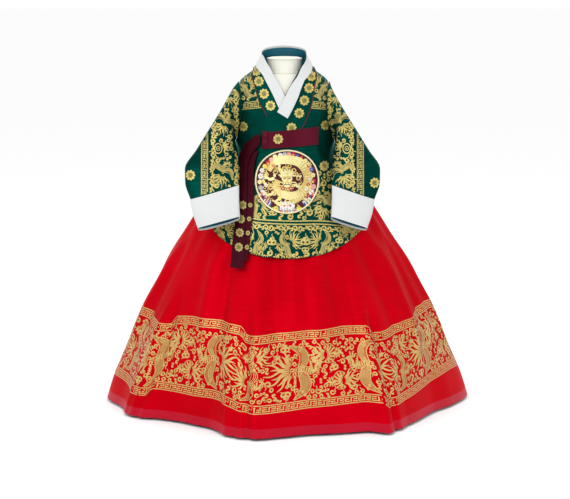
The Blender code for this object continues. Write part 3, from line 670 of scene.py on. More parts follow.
def make_jacket_body():
    levels = np.concatenate([np.linspace(HEM_CENTRE, 0.52, 36), np.linspace(0.525, JACKET_TOP, 40)])[:, None]
    share = np.linspace(0.0, 1.0, 44)[None, :]
    left = angle_at(over_edge(levels), levels)
    right = side_angle(levels)
    angles = left + (right - left) * share
    heights = lifted(angles, levels)
    lift = over_lift(section(angles, heights)[..., 0])
    points = body(angles, heights, FIRST + lift)
    shell("over_front", points, "jacket", ("jacket_front_over",), inside="lining")
    share = np.linspace(0.0, 1.0, 30)[None, :]
    left = -side_angle(levels)
    right = angle_at(under_edge(levels), levels)
    angles = left + (right - left) * share
    points = body(angles, lifted(angles, levels), FIRST)
    shell("under_front", points, "jacket", ("jacket_front_under",), inside="lining")
    for name, sign in (("right", 1), ("left", -1)):
        seam = np.degrees(0.5 * SEAM / half_depth(levels))
        start = 180.0 - side_angle(levels)
        angles = start + (180.0 - seam - start) * np.linspace(0.0, 1.0, 36)[None, :]
        if sign < 0:
            angles = (360.0 - angles)[:, ::-1]
        points = body(angles, lifted(angles, levels), FIRST)
        shell("back_" + name, points, "jacket", ("jacket_back_" + name,), inside="lining")


def armhole_ring(sign, turn):
    height = ARMHOLE_MIDDLE + (ARMHOLE_HALF_HEIGHT + 0.6 * MM) * np.cos(turn)
    depth = -(ARMHOLE_HALF_DEPTH + 0.6 * MM) * np.sin(turn)
    out = half_width(height) * np.sqrt(np.maximum(0.0, 1.0 - (depth / half_depth(height)) ** 2))
    return np.stack([centre_x(height) + sign * (out + 2.5 * MM), depth, height], axis=-1)


def flat_ring(row, sign, turn):
    """A flattened ring from its inner edge, outer edge and half thickness."""
    inner = np.array([sign * row[0] + INNER_SHIFT, row[1], row[2]])
    outer = np.array([sign * row[3] + OUTER_SHIFT, row[4], row[5]])
    reach = (outer - inner) / 2.0
    thick = np.array([0.0, 1.0, 0.0])
    thick = unit(thick - reach * (thick.dot(reach) / reach.dot(reach)))
    bulge = np.sign(np.sin(turn)) * np.abs(np.sin(turn)) ** 0.85
    return (inner + outer) / 2.0 + np.outer(np.cos(turn), reach) - np.outer(row[6] * bulge, thick)


def rings_between(rings, steps):
    """More rings on a smooth curve through the given ones."""
    rows = [[float(index)] + ring.reshape(-1).tolist() for index, ring in enumerate(rings)]
    places = np.linspace(0.0, len(rings) - 1.0, (len(rings) - 1) * steps + 1)
    flat = np.array([[monotone(rows, place, column + 1) for column in range(len(rows[0]) - 1)]
                     for place in places])
    return flat.reshape(len(places), -1, 3)


def make_sleeves():
    turn = 2.0 * math.pi * np.arange(48) / 48.0
    for side, sign in (("right", 1), ("left", -1)):
        rings = [armhole_ring(sign, turn)] + [flat_ring(row, sign, turn) for row in SLEEVE_RINGS]
        points = rings_between(rings, 5)
        cuff = rings_between([flat_ring(row, sign, turn) for row in CUFF_RINGS], 10)
        points = creased_tube(points, SLEEVE_CREASES, sign)
        cuff = creased_tube(cuff, CUFF_CREASES, sign)
        low_lip = np.sqrt(np.maximum(0.0, -np.sin(turn)))[None, :]
        near_mouth = smoothstep(0.45, 1.0, np.linspace(0.0, 1.0, len(cuff)))[:, None]
        high_lip = np.sqrt(np.maximum(0.0, np.sin(turn)))[None, :]
        drop = (CUFF_BACK_DROP * low_lip - CUFF_FRONT_RISE * high_lip) * near_mouth
        cuff[..., 2] -= drop
        if sign < 0:
            points = points[:, ::-1]
            cuff = cuff[:, ::-1]
        shell("sleeve_cloth_" + side, points, "jacket", ("sleeve_" + side,), closed=True,
              inside="lining")
        shell("cuff_cloth_" + side, cuff, "white", ("cuff_" + side,), closed=True,
              inside="lining",
              border=(len(cuff) - 2, len(cuff) - 1, "white", "white"))


def x_stations(table):
    """Stations given by x as rows of inner angle, inner height, outer angle and outer height."""
    return [(float(angle_at(inner_x, inner_z)), inner_z, float(angle_at(outer_x, outer_z)), outer_z)
            for inner_x, inner_z, outer_x, outer_z in table]


def collar_stations(name):
    """The stations along a collar piece."""
    stations = []
    if name == "right":
        stations = x_stations(RIGHT_COLLAR) + [COLLAR_ENDS["right"]]
    if name == "left":
        stations = x_stations(LEFT_COLLAR) + [COLLAR_ENDS["left"]]
        stations.reverse()
    if name == "back":
        for angle, inner, outer in NECK_COLLAR:
            first = angle == NECK_COLLAR[0][0]
            stations.append((angle - 12.0 if first else angle, inner,
                             angle - 10.0 if first else angle, outer))
        stations += [(360.0 - row[0], row[1], 360.0 - row[2], row[3]) for row in reversed(stations[:-1])]
    return stations


def strip_points(stations, low, high, layer_of, steps=6, across=9):
    """A grid of points on a collar strip; low and high are shares from outer to inner edge."""
    rows = [(float(index), *station) for index, station in enumerate(stations)]
    places = np.linspace(0.0, len(rows) - 1.0, (len(rows) - 1) * steps + 1)
    fine = np.array([[monotone(rows, place, column) for column in (1, 2, 3, 4)] for place in places])
    share = np.linspace(low, high, across)[:, None]
    angle = fine[None, :, 2] + (fine[None, :, 0] - fine[None, :, 2]) * share
    height = fine[None, :, 3] + (fine[None, :, 1] - fine[None, :, 3]) * share
    x = section(angle, height)[..., 0]
    return body(angle, height, layer_of(x))


def level(base, laps_over):
    """How far out a piece lies at each x; on the front that laps over it lies higher."""
    return lambda x: base + (over_lift(x) if laps_over else 0.0 * x)


def make_collar():
    collar_base = SECOND + COLLAR_EASE
    edging_base = THIRD + COLLAR_EASE
    for name in ("right", "left", "back"):
        points = strip_points(collar_stations(name), 0.0, 1.0, level(collar_base, name == "right"))
        shell("collar_cloth_" + name, points, "jacket", ("collar_" + name,), inside="lining")
    right = x_stations(RIGHT_EDGING) + [EDGING_ENDS["right"]]
    left = x_stations(LEFT_EDGING) + [EDGING_ENDS["left"]]
    for name, stations, low, high in (("right", right, 0.0, 1.0), ("left", left[::-1], 0.0, 1.0),
                                      ("back", collar_stations("back"), 0.62, 1.09)):
        points = strip_points(stations, low, high, level(edging_base, name == "right"))
        shell("edging_" + name, points, "white", ("collar_edging_" + name,))


def ribbon_tail(name, table, layer, node_name):
    heights = np.linspace(table[0][0], table[-1][0], 40)[:, None]
    x = curve(table)(heights)
    width = curve(table, 2)(heights)
    share = np.linspace(-1.0, 1.0, 9)[None, :]
    points = body(angle_at(x + share * width, heights), heights + 0.0 * share, layer + 0.0 * share)
    # The tails take the darker wine, which is painted shade.
    shell(name, points, "shaded wine", (node_name,))


def make_tie():
    share = np.linspace(0.0, 1.0, 13)[:, None]
    along = np.linspace(0.0, 1.0, 25)[None, :]
    x = LOOP_LEFT + (LOOP_RIGHT - LOOP_LEFT) * along
    low = LOOP_BOTTOM[0] + (LOOP_BOTTOM[1] - LOOP_BOTTOM[0]) * along
    high = LOOP_TOP[0] + (LOOP_TOP[1] - LOOP_TOP[0]) * along
    height = low + (high - low) * share
    points = body(angle_at(x, height), height, TIED + 0.0 * height)
    shell("loop_cloth", points, "wine", ("tie_loop",), wall=2.0 * WALL)
    height = KNOT_BOTTOM + (KNOT_TOP - KNOT_BOTTOM) * share - 0.002 * np.sin(math.pi * along)
    x = LOOP_LEFT - SEAM - (KNOT_WIDTH + KNOT_SPREAD * (1.0 - share)) * (1.0 - along)
    rise = (1.0 - (2.0 * along - 1.0) ** 4) * (1.0 - (2.0 * share - 1.0) ** 6)
    folds = 1.0 + 0.16 * np.cos(2.0 * math.pi * 2.5 * share + 1.0)
    points = body(angle_at(x, height), height, TIED + KNOT_RISE * rise * folds)
    shell("knot_cloth", points, "wine", ("tie_knot",))
    ribbon_tail("tail_cloth_front", FRONT_TAIL, FIFTH, "tie_tail_front")
    ribbon_tail("tail_cloth_back", BACK_TAIL, FOURTH, "tie_tail_back")


def make_roundel_ground():
    turn = 2.0 * math.pi * np.arange(72)[None, :] / 72.0
    radius = np.linspace(ROUNDEL_RADIUS, 0.0005, 18)[:, None]
    x = ROUNDEL_CENTRE[0] + radius * np.sin(turn)
    height = ROUNDEL_CENTRE[1] - radius * np.cos(turn)
    points = body(angle_at(x, height), height, THIRD + ROUNDEL_EASE + 0.0 * x)
    shell("roundel_ground", points, "ground", ("chest_roundel",), closed=True)


# Patterns, drawn flat in millimetres as lists of (ink, points, faces)

def left_of(line):
    """The direction to the left of a flat line at each of its points."""
    along = unit(np.gradient(line, axis=0))
    return np.stack([-along[:, 1], along[:, 0]], axis=-1)


def spread(values, count):
    """A few values spread evenly over count places."""
    return np.interp(np.linspace(0.0, 1.0, count), np.linspace(0.0, 1.0, np.size(values)),
                     np.atleast_1d(values))


def strip_between(left, right, ink):
    count = len(left)
    faces = [(spot, count + spot, count + spot + 1, spot + 1) for spot in range(count - 1)]
    return [(ink, np.concatenate([left, right]), faces)]


def stroke(points, widths, ink="gold"):
    """A line with a width at each point."""
    points = np.array(points, float)
    side = left_of(points) * (spread(widths, len(points)) / 2.0)[:, None]
    return strip_between(points + side, points - side, ink)


def bars(points, width):
    """Straight bars from point to point, with square corners and ends."""
    made = []
    for first, second in zip(np.array(points, float)[:-1], np.array(points, float)[1:]):
        reach = unit(second - first) * width * 0.5
        count = max(int(np.linalg.norm(second - first) / 6.0), 1) + 1
        share = np.linspace(0.0, 1.0, count)[:, None]
        made += stroke((first - reach) * (1.0 - share) + (second + reach) * share, width)
    return made


def smooth(points, steps=5):
    """A smooth curve through the given points."""
    points = np.array(points, float)
    padded = np.vstack([2.0 * points[0] - points[1], points, 2.0 * points[-1] - points[-2]])
    share = np.linspace(0.0, 1.0, steps, endpoint=False)[:, None]
    spans = []
    for first, second, third, fourth in zip(padded, padded[1:], padded[2:], padded[3:]):
        spans.append(second + 0.5 * ((third - first) * share
                                     + (2 * first - 5 * second + 4 * third - fourth) * share**2
                                     + (3 * second - first - 3 * third + fourth) * share**3))
    return np.vstack(spans + [points[-1:]])


def fill(points, ink="gold"):
    """A filled shape whose whole edge is seen from its middle."""
    points = np.array(points, float)
    count = len(points)
    faces = [(spot, (spot + 1) % count, count) for spot in range(count)]
    return [(ink, np.vstack([points, points.mean(axis=0)]), faces)]


def disc(x, y, radius, ink="gold", sides=12, tall=1.0):
    turn = np.linspace(0.0, 2.0 * np.pi, sides, endpoint=False)
    return fill(np.stack([x + radius * np.cos(turn), y + radius * tall * np.sin(turn)], axis=-1), ink)


def hoop(x, y, radius, width, sides=20, tall=1.0):
    turn = np.linspace(0.0, 2.0 * np.pi, sides + 1)
    line = np.stack([x + radius * np.cos(turn), y + radius * tall * np.sin(turn)], axis=-1)
    return stroke(line, width)


def placed(drawing, x=0.0, y=0.0, turn=0.0, scale=1.0, mirror=False):
    """A copy of a drawing, mirrored, scaled, turned and moved in that order."""
    angle = math.radians(turn)
    across = -scale if mirror else scale
    matrix = np.array([[math.cos(angle) * across, math.sin(angle) * across],
                       [-math.sin(angle) * scale, math.cos(angle) * scale]])
    made = []
    for ink, points, faces in drawing:
        if mirror:
            faces = [tuple(reversed(face)) for face in faces]
        made.append((ink, points @ matrix + (x, y), faces))
    return made


CURL_SWEEP = 400.0


def curl(size, width, ink="gold"):
    """A comma-shaped curl that opens from its own middle."""
    share = np.linspace(0.0, 1.0, 13)
    angle = np.radians(CURL_SWEEP * share)
    radius = size * (0.16 + 0.42 * share)
    line = np.stack([radius * np.cos(angle), radius * np.sin(angle)], axis=-1)
    tail = line[-1] + np.array([[0.10 * size, 0.22 * size], [0.34 * size, 0.40 * size]])
    return stroke(np.vstack([line, tail]), (width * 1.1, width * 1.3, width, width * 0.4), ink)


def hook(size, width, ink="gold"):
    """An S-shaped curl."""
    line = smooth([(-0.10, -0.30), (-0.34, -0.36), (-0.42, -0.10), (-0.16, 0.06), (0.16, -0.04),
                   (0.42, 0.12), (0.32, 0.38), (0.08, 0.30)], 3) * size
    return stroke(line, (width * 0.9, width * 1.2, width * 0.9, width * 1.2, width * 0.9), ink)


def cloud(size, ink="gold"):
    """Three curls over a trailing wisp."""
    made = placed(curl(size * 0.62, size * 0.15, ink), -size * 0.26, size * 0.04)
    made += placed(curl(size * 0.62, size * 0.15, ink), size * 0.26, size * 0.04, mirror=True)
    made += placed(curl(size * 0.55, size * 0.14, ink), 0.0, size * 0.36, turn=40.0)
    made += stroke(smooth([(-0.62, -0.40), (-0.24, -0.24), (0.14, -0.30), (0.62, -0.20)], 4) * size,
                   (size * 0.04, size * 0.15, size * 0.12, size * 0.03), ink)
    return made


FLOWER_PETALS = 9
PETAL = ((0.30, -0.11), (0.55, -0.21), (0.82, -0.25), (0.97, -0.13), (1.0, 0.0), (0.97, 0.13),
         (0.82, 0.25), (0.55, 0.21), (0.30, 0.11))


def flower(radius):
    """A round flower with full petals and a ringed heart."""
    made = []
    for number in range(FLOWER_PETALS):
        made += placed(fill(PETAL), turn=360.0 * number / FLOWER_PETALS, scale=radius)
    made += disc(0.0, 0.0, radius * 0.50, "olive", 16)
    made += hoop(0.0, 0.0, radius * 0.43, radius * 0.10, 16)
    made += disc(0.0, 0.0, radius * 0.17, sides=10)
    return made


def ribbed(line, half_widths, ribs, ink="gold", edge=1.3, gap=0.9, solid=0.64):
    """A long form with a fine outline and bars across it."""
    line = smooth(line, 6)
    share = np.linspace(0.0, 1.0, len(line))
    half = spread(half_widths, len(line))
    side = left_of(line)
    outline = np.vstack([line + side * half[:, None], (line - side * half[:, None])[::-1],
                         line[:1] + side[:1] * half[0]])
    made = stroke(outline, edge, ink)
    length = np.linalg.norm(np.diff(line, axis=0), axis=-1).sum()
    for number in range(ribs):
        place = (number + 0.5) / ribs
        middle = np.array([np.interp(place, share, line[:, 0]), np.interp(place, share, line[:, 1])])
        across = np.array([np.interp(place, share, side[:, 0]), np.interp(place, share, side[:, 1])])
        forward = np.array([across[1], -across[0]])
        reach = float(np.interp(place, share, half)) - edge / 2.0 - gap
        if reach > 0.5:
            bar = [middle - across * reach, middle + forward * reach * 0.25, middle + across * reach]
            made += stroke(smooth(bar, 3), length / ribs * solid, ink)
    return made


def wing(line, half_widths):
    """A spread wing: soft ground, bright outline and midrib, scales on one side of it."""
    line = smooth(line, 6)
    side = left_of(line) * spread(half_widths, len(line))[:, None]
    left = line + side
    right = line - side
    count = len(line)
    inner = int(count * 0.12)
    outer = int(count * 0.80)
    made = strip_between(left, right, "soft")
    made += stroke(np.vstack([left, right[::-1], left[:1]]), 1.5)
    for offset, width in ((0.10, 1.5), (-0.42, 1.3)):
        made += stroke((line + side * offset)[inner:outer], width)
    scales = [(number, 0.85, 0.25) for number in range(inner, outer)]
    scales += [(number, 0.7, -0.7) for number in range(outer, count - 2, 2)]
    for number, start, end in scales:
        ends = [line[number] + side[number] * start, line[number] + side[number] * end]
        made += stroke(ends, 0.9, "thread")
    return made


def plume(root, tip, bend, width, ink="gold"):
    """One long feather that waves on its way from root to tip."""
    root = np.array(root, float)
    tip = np.array(tip, float)
    across = np.array([-(tip - root)[1], (tip - root)[0]])
    line = smooth([root, root + (tip - root) * 0.35 + across * bend,
                   root + (tip - root) * 0.7 - across * bend * 0.6, tip], 4)
    return stroke(line, (width * 0.30, width * 0.9, width * 1.05, width * 0.75, width * 0.25), ink)


def fan(root, first, last, count, length, width, bend):
    """Feathers that spread from one root between two directions."""
    made = []
    for number in range(count):
        share = number / (count - 1.0)
        angle = math.radians(first + (last - first) * share)
        reach = length * (1.0 - 0.22 * (number % 2)) * (0.86 + 0.28 * math.sin(math.pi * share))
        start = np.array(root) + 0.24 * length * np.array([math.cos(angle), math.sin(angle)])
        tip = np.array(root) + reach * np.array([math.cos(angle), math.sin(angle)])
        made += plume(start, tip, bend * (1.0 if share < 0.5 else -1.0), width)
    return made


def phoenix():
    """A phoenix in flight that faces right, about 105 mm from wing tip to wing tip."""
    made = wing([(1, 2), (9, 12), (12, 24), (5, 36), (-18, 48)], (3.0, 8.0, 9.5, 7.5, 0.8))
    made += wing([(2, -3), (9, -14), (14, -28), (9, -42), (-10, -57)], (3.5, 9.0, 10.5, 8.0, 0.8))
    made += ribbed([(-7, 1), (6, 0), (18, -4), (30, -7)], (2.5, 6.0, 8.0, 3.0), 8)
    made += stroke(smooth([(27, -5), (34, -2), (34, 5), (38, 11)], 5), (7.5, 5.5, 4.4, 4.6))
    made += disc(39.5, 12.5, 4.2)
    made += disc(40.5, 13.2, 0.9, "thread", 8)
    made += fill([(42.0, 15.0), (50.0, 11.5), (41.5, 9.6)])
    made += plume((38, 15), (29, 25), 0.18, 2.8)
    made += plume((36, 14), (24, 19), 0.18, 2.6)
    made += plume((40, 16), (37, 26), 0.18, 2.4)
    made += plume((40, 9), (44, 1), 0.2, 2.4)
    for number in range(5):
        up = number * 3.6
        made += plume((32 - number, -6 + up), (22 - number * 0.2, 1 + number * 4.2), 0.1, 2.0)
        made += plume((33 + number, -7 + up), (41 + number * 0.5, -12 + number * 3.4), 0.1, 1.7)
    made += fan((-5, 0), 124, 236, 12, 56.0, 3.7, 0.07)
    made += plume((12, -9), (22, -23), 0.1, 2.2)
    made += plume((8, -8), (24, -16), 0.1, 2.0)
    return made


def small_bird():
    """A round-bodied bird that faces right, with a spread tail, about 70 mm long."""
    made = ribbed([(-8, 13), (2, 12), (9, 3), (6, -9), (-4, -14)], (1.5, 8.0, 9.0, 7.0, 1.5), 9)
    made += fan((1, 0), 140, 228, 9, 36.0, 2.9, 0.1)
    made += stroke(smooth([(13, 2), (19, 0), (23, 3)], 4), (6.0, 4.2, 3.4))
    made += disc(24.5, 3.6, 3.0, sides=10)
    made += fill([(27.0, 5.2), (32.5, 3.0), (26.6, 1.6)])
    for angle in (35.0, 70.0, 105.0, -60.0, -95.0):
        made += placed(plume((3, 0), (10.5, 0), 0.12, 2.5), 20.5, 3.0, angle)
    return made


def key_border(length, depth, repeat=26.0):
    """A band of a line above and below interlocking keys, along x from 0."""
    made = []
    line = depth * 0.105
    bar = depth * 0.115
    low = depth * 0.27
    middle = depth * 0.5
    high = depth * 0.73
    made += bars([(0.0, line * 0.5), (length, line * 0.5)], line)
    made += bars([(0.0, depth - line * 0.5), (length, depth - line * 0.5)], line)
    count = max(int(round(length / repeat)), 1)
    step = length / count
    for number in range(count):
        start = number * step
        for arm in (((0.30, middle), (0.07, middle), (0.07, low), (0.50, low), (0.50, high), (0.93, high),
                     (0.93, middle), (0.70, middle)),
                    ((0.07, high), (0.34, high)), ((0.66, low), (0.93, low))):
            made += bars([(start + share * step, height) for share, height in arm], bar)
    return made


SCROLL_WIDTH = 2.5


def scroll_row(path, spacing, size):
    """Curls and hooks set one after the other along a path, turned to both sides by turns."""
    path = smooth(path, 8)
    lengths = lengths_along(path)
    count = max(int(lengths[-1] / spacing), 1)
    made = []
    for number in range(count):
        place = (number + 0.5) * lengths[-1] / count
        x = np.interp(place, lengths, path[:, 0])
        y = np.interp(place, lengths, path[:, 1])
        before, after = place - 1.0, place + 1.0
        ahead, rise = [np.interp(after, lengths, part) - np.interp(before, lengths, part) for part in path.T]
        turn = math.degrees(math.atan2(rise, ahead))
        shape = curl(size, SCROLL_WIDTH) if number % 3 else hook(size * 1.1, SCROLL_WIDTH)
        made += placed(shape, x, y, turn + (0.0, 160.0, 70.0)[number % 3], 1.0, number % 2 == 1)
    return made


# Fillers of the skirt's band beside each phoenix: kind, x and y from the middle of the pair, turn, size.
PAIR_FILLERS = (
    ("curl", 34, -44, 20, 11), ("hook", 50, 45, 10, 12), ("curl", 47, -24, 200, 10),
    ("cloud", 98, 43, 0, 17), ("cloud", 97, -44, 180, 17), ("hook", 118, -46, 40, 12),
    ("curl", 30, 12, 120, 9), ("hook", 92, 27, 60, 10), ("hook", 92, -28, 120, 10),
    ("curl", 38, 34, 60, 10), ("curl", 66, 46, 150, 9), ("hook", 62, -46, 30, 10), ("curl", 112, 30, 30, 9),
    ("curl", 48, 2, 250, 8),
)
# Fillers between two pairs.
GAP_FILLERS = (
    ("curl", -28, 10, 90, 11), ("hook", 31, 6, 60, 11), ("curl", 27, 47, 10, 11),
    ("curl", -24, 47, 170, 11), ("hook", -6, 46, 90, 11), ("curl", 34, -20, 200, 11),
    ("hook", 30, -44, 20, 12), ("curl", -34, -42, 100, 11), ("hook", 4, 8, 0, 10), ("curl", 44, 22, 45, 10),
    ("curl", -40, 26, 300, 10),
)
CENTRE_FILLERS = (
    ("cloud", -2, -1, 10, 17), ("hook", 30, 45, 30, 11), ("hook", -42, 18, 80, 11),
    ("curl", -8, -49, 0, 10), ("curl", 17, 8, 120, 10), ("hook", -20, -14, 40, 11), ("curl", 4, 48, 0, 9),
    ("hook", -28, -40, 70, 11), ("curl", 38, -8, 20, 9),
)


# The width of a small motif's line as a share of its size: in the skirt's band, on the jacket, in gaps.
BAND_LINE = 0.24
JACKET_LINE = 0.29
GAP_LINE = 0.27


def small_motif(kind, size, width):
    """A cloud, or a curl or hook whose line is as wide as a share of its size."""
    if kind == "cloud":
        return cloud(size)
    return (curl if kind == "curl" else hook)(size, size * width)


def fillers(table, mirror=False):
    made = []
    side = -1.0 if mirror else 1.0
    for kind, x, y, turn, size in table:
        made += placed(small_motif(kind, size, BAND_LINE), side * x, y, side * turn, 1.0, mirror)
    return made


# Gaps, in mm: step between places tried, room kept round the drawing and between two fillers.
GAP_STEP = 2.5
GAP_CLEAR = 4.6
GAP_APART = 8.0


def fill_gaps(drawing, low, high, repeat=0.0, size=8.0):
    """Small curls and hooks wherever a drawing leaves the cloth bare between two corners."""
    drawn = np.vstack([points for _, points, _ in drawing])
    if repeat:
        drawn = np.vstack([drawn, drawn + (repeat, 0.0), drawn - (repeat, 0.0)])
    tree = KDTree(len(drawn))
    for number, (x, y) in enumerate(drawn):
        tree.insert((x, y, 0.0), number)
    tree.balance()
    draw = random.Random(len(drawn))
    places = [(x, y) for x in np.arange(low[0], high[0], GAP_STEP)
              for y in np.arange(low[1], high[1], GAP_STEP)]
    draw.shuffle(places)
    made = []
    taken = np.empty((0, 2))
    for place in places:
        if tree.find((place[0], place[1], 0.0))[2] < GAP_CLEAR:
            continue
        near = taken
        if repeat:
            near = np.vstack([taken, taken + (repeat, 0.0), taken - (repeat, 0.0)])
        if len(near) and np.min(np.hypot(*(near - place).T)) < GAP_APART:
            continue
        taken = np.vstack([taken, place])
        shape = curl if draw.random() < 0.5 else hook
        made += placed(shape(size, size * GAP_LINE), place[0], place[1], draw.uniform(0.0, 360.0))
    return made


PAIR_REACH = 72.0


def band_repeat(length):
    """One repeat of the skirt's wide band: two phoenixes face each other, with birds round them."""
    made = placed(phoenix(), -PAIR_REACH, 1.0)
    made += placed(phoenix(), PAIR_REACH, 1.0, mirror=True)
    made += fillers(PAIR_FILLERS) + fillers(PAIR_FILLERS, True) + fillers(CENTRE_FILLERS)
    made += placed(small_bird(), -14.0, 27.0, -8.0, 1.05)
    made += placed(small_bird(), 12.0, -29.0, 6.0, 1.0, True)
    half = length / 2.0
    made += placed(phoenix(), half - 4.0, -18.0, -14.0, 0.68)
    made += placed(small_bird(), half + 4.0, 30.0, 12.0, 0.95, True)
    made += placed(fillers(GAP_FILLERS), half, 0.0)
    reach = BAND_DEPTH / 2.0 - BORDER_DEPTH - 5.0
    made += fill_gaps(made, (-half, -reach), (half, reach), length)
    return made


# How far each ink lies off the cloth, in mm; the first is for coloured threads.
THREAD_LIFT = 0.48
INK_LIFT = {"soft": 0.28, "gold": 0.40, "olive": 0.45, "thread": 0.52}
# A face that the laying stretches more than this has fallen over an edge and is left out.
STRETCH_LIMIT = 2.5
STRETCH_EASE = 2.0 * MM


def ink_mesh(name, drawing, surface, materials):
    """Lays a drawing on a surface; surface gives a point for each flat point, or not a number."""
    inks = sorted({ink for ink, _, _ in drawing})
    points = []
    faces = []
    slots = []
    start = 0
    lifts = []
    for ink, flat, shape in drawing:
        points.append(flat)
        lifts.append(np.full(len(flat), INK_LIFT.get(ink, THREAD_LIFT) * MM))
        faces.extend(tuple(start + spot for spot in face) for face in shape)
        slots.extend([inks.index(ink)] * len(shape))
        start += len(flat)
    flat = np.vstack(points)
    laid, normals = surface(flat * MM)
    laid = laid + normals * np.concatenate(lifts)[:, None]
    kept_faces = []
    kept_slots = []
    for face, number in zip(faces, slots):
        corners = laid[list(face)]
        if not np.isfinite(corners).all():
            continue
        reach = np.linalg.norm(corners.max(axis=0) - corners.min(axis=0))
        flat_reach = np.linalg.norm(np.ptp(flat[list(face)], axis=0)) * MM
        if reach > STRETCH_LIMIT * flat_reach + STRETCH_EASE:
            continue
        kept_faces.append(face)
        kept_slots.append(number)
    used = sorted({spot for face in kept_faces for spot in face})
    places = {spot: number for number, spot in enumerate(used)}
    mesh = bpy.data.meshes.new(name)
    mesh.from_pydata(laid[used].tolist(), [], [tuple(places[spot] for spot in face) for face in kept_faces])
    mesh.polygons.foreach_set("material_index", kept_slots)
    link_piece(name, mesh)
    for ink in inks:
        mesh.materials.append(MATERIALS[materials[ink]])


class Cast:
    """Finds the outer face of pieces of cloth along Y, from the front or the back."""

    def __init__(self, objects, back=False):
        vertices = []
        polygons = []
        depsgraph = bpy.context.evaluated_depsgraph_get()
        for obj in objects:
            mesh = obj.evaluated_get(depsgraph).to_mesh()
            start = len(vertices)
            vertices.extend(vertex.co.copy() for vertex in mesh.vertices)
            polygons.extend(tuple(start + spot for spot in face.vertices) for face in mesh.polygons)
        self.tree = BVHTree.FromPolygons(vertices, polygons)
        self.side = -1.0 if not back else 1.0

    def __call__(self, flat):
        made = np.full((len(flat), 3), np.nan)
        normals = np.zeros((len(flat), 3))
        heading = Vector((0.0, -self.side, 0.0))
        for number, (x, z) in enumerate(flat):
            place, normal, _, _ = self.tree.ray_cast(Vector((x, self.side, z)), heading)
            if place is None:
                continue
            if normal.dot(heading) > 0.0:
                normal = -normal
            made[number] = place
            normals[number] = normal
        return made, normals


BAND_TOP = ((-180, 0.196), (-120, 0.195), (-95, 0.197), (-80, 0.2015), (-53, 0.184), (-51, 0.200),
            (-38, 0.2045), (-17.6, 0.197), (-15, 0.181), (7, 0.190), (30.4, 0.195), (33, 0.179),
            (55, 0.191), (80, 0.212), (100, 0.204), (130, 0.194), (180, 0.196))
BAND_BOTTOM = ((-180, 0.056), (-120, 0.052), (-95, 0.054), (-80, 0.056), (-55.4, 0.045), (-53, 0.060),
               (-37, 0.0575), (-24, 0.0595), (-14, 0.049), (-10, 0.047), (9.5, 0.0525), (30, 0.058),
               (32.6, 0.047), (55, 0.0567), (80, 0.071), (100, 0.063), (140, 0.053), (180, 0.056))
BAND_DEPTH = 152.0
BORDER_DEPTH = 17.0
BAND_REPEATS = 6
BAND_MIDDLE_HEIGHT = 0.125
FRONT_PAIR_ANGLE = 17.0


def make_skirt_band():
    """The wide gold band with its key borders, all round the skirt."""
    top = curve(BAND_TOP)
    bottom = curve(BAND_BOTTOM)
    angles = np.linspace(-180.0, 180.0, 1441)
    middle = skirt_points(angles, BAND_MIDDLE_HEIGHT)
    lengths = lengths_along(middle)
    around = lengths[-1] / MM
    start = np.interp(FRONT_PAIR_ANGLE, angles, lengths) / MM

    def surface(flat):
        place = (flat[:, 0] + start * MM) % lengths[-1]
        angle = np.interp(place, lengths, angles)
        share = flat[:, 1] / (BAND_DEPTH * MM)
        height = bottom(angle) + (top(angle) - bottom(angle)) * share
        place = skirt_points(angle, height)
        along = skirt_points(angle + 0.3, height) - skirt_points(angle - 0.3, height)
        up = skirt_points(angle, height + 0.002) - skirt_points(angle, height - 0.002)
        normals = unit(np.cross(along, up))
        return place + normals * WALL, normals

    repeat = around / BAND_REPEATS
    for number in range(BAND_REPEATS):
        drawing = placed(band_repeat(repeat), 0.0, BAND_DEPTH / 2.0)
        drawing += placed(key_border(repeat, BORDER_DEPTH), -repeat / 2.0, 0.0)
        drawing += placed(key_border(repeat, BORDER_DEPTH), -repeat / 2.0, BAND_DEPTH - BORDER_DEPTH)
        ink_mesh("skirt_gold_%d" % (number + 1), placed(drawing, number * repeat, 0.0), surface,
                 {"gold": "skirt gold", "soft": "skirt soft gold", "thread": "skirt"})


# Woven patterns of the jacket: kind, x and height on the garment, turn, size or scale, and True
# where it is mirrored.
SHOULDER_MOTIFS = (
    ("phoenix", -82, 648, 35, 0.46, True), ("cloud", -56, 664, 0, 13), ("curl", -60, 634, 30, 10),
    ("hook", -96, 628, 0, 10), ("hook", -68, 680, 60, 10), ("curl", -100, 664, 200, 10),
    ("curl", -46, 650, 120, 9), ("hook", -84, 672, 100, 10), ("curl", -44, 680, 40, 9),
    ("hook", -58, 648, 150, 9), ("curl", -98, 646, 90, 9), ("hook", -76, 625, 20, 9),
    ("curl", -56, 622, 0, 9), ("curl", -88, 624, 140, 8),
)
SLEEVE_MOTIFS = (
    ("phoenix", -124, 578, 60, 0.44), ("drum", -137, 527, 0, 1.0), ("phoenix", -127, 482, 250, 0.48, True),
    ("phoenix", -116, 632, 80, 0.36), ("hook", -141, 552, 30, 9), ("curl", -114, 548, 120, 9),
    ("curl", -138, 504, 60, 9), ("hook", -116, 508, 0, 9), ("curl", -140, 456, 20, 9),
    ("hook", -114, 452, 60, 9), ("hook", -134, 598, 70, 9), ("curl", -128, 610, 10, 8),
    ("curl", -108, 600, 70, 8),
)
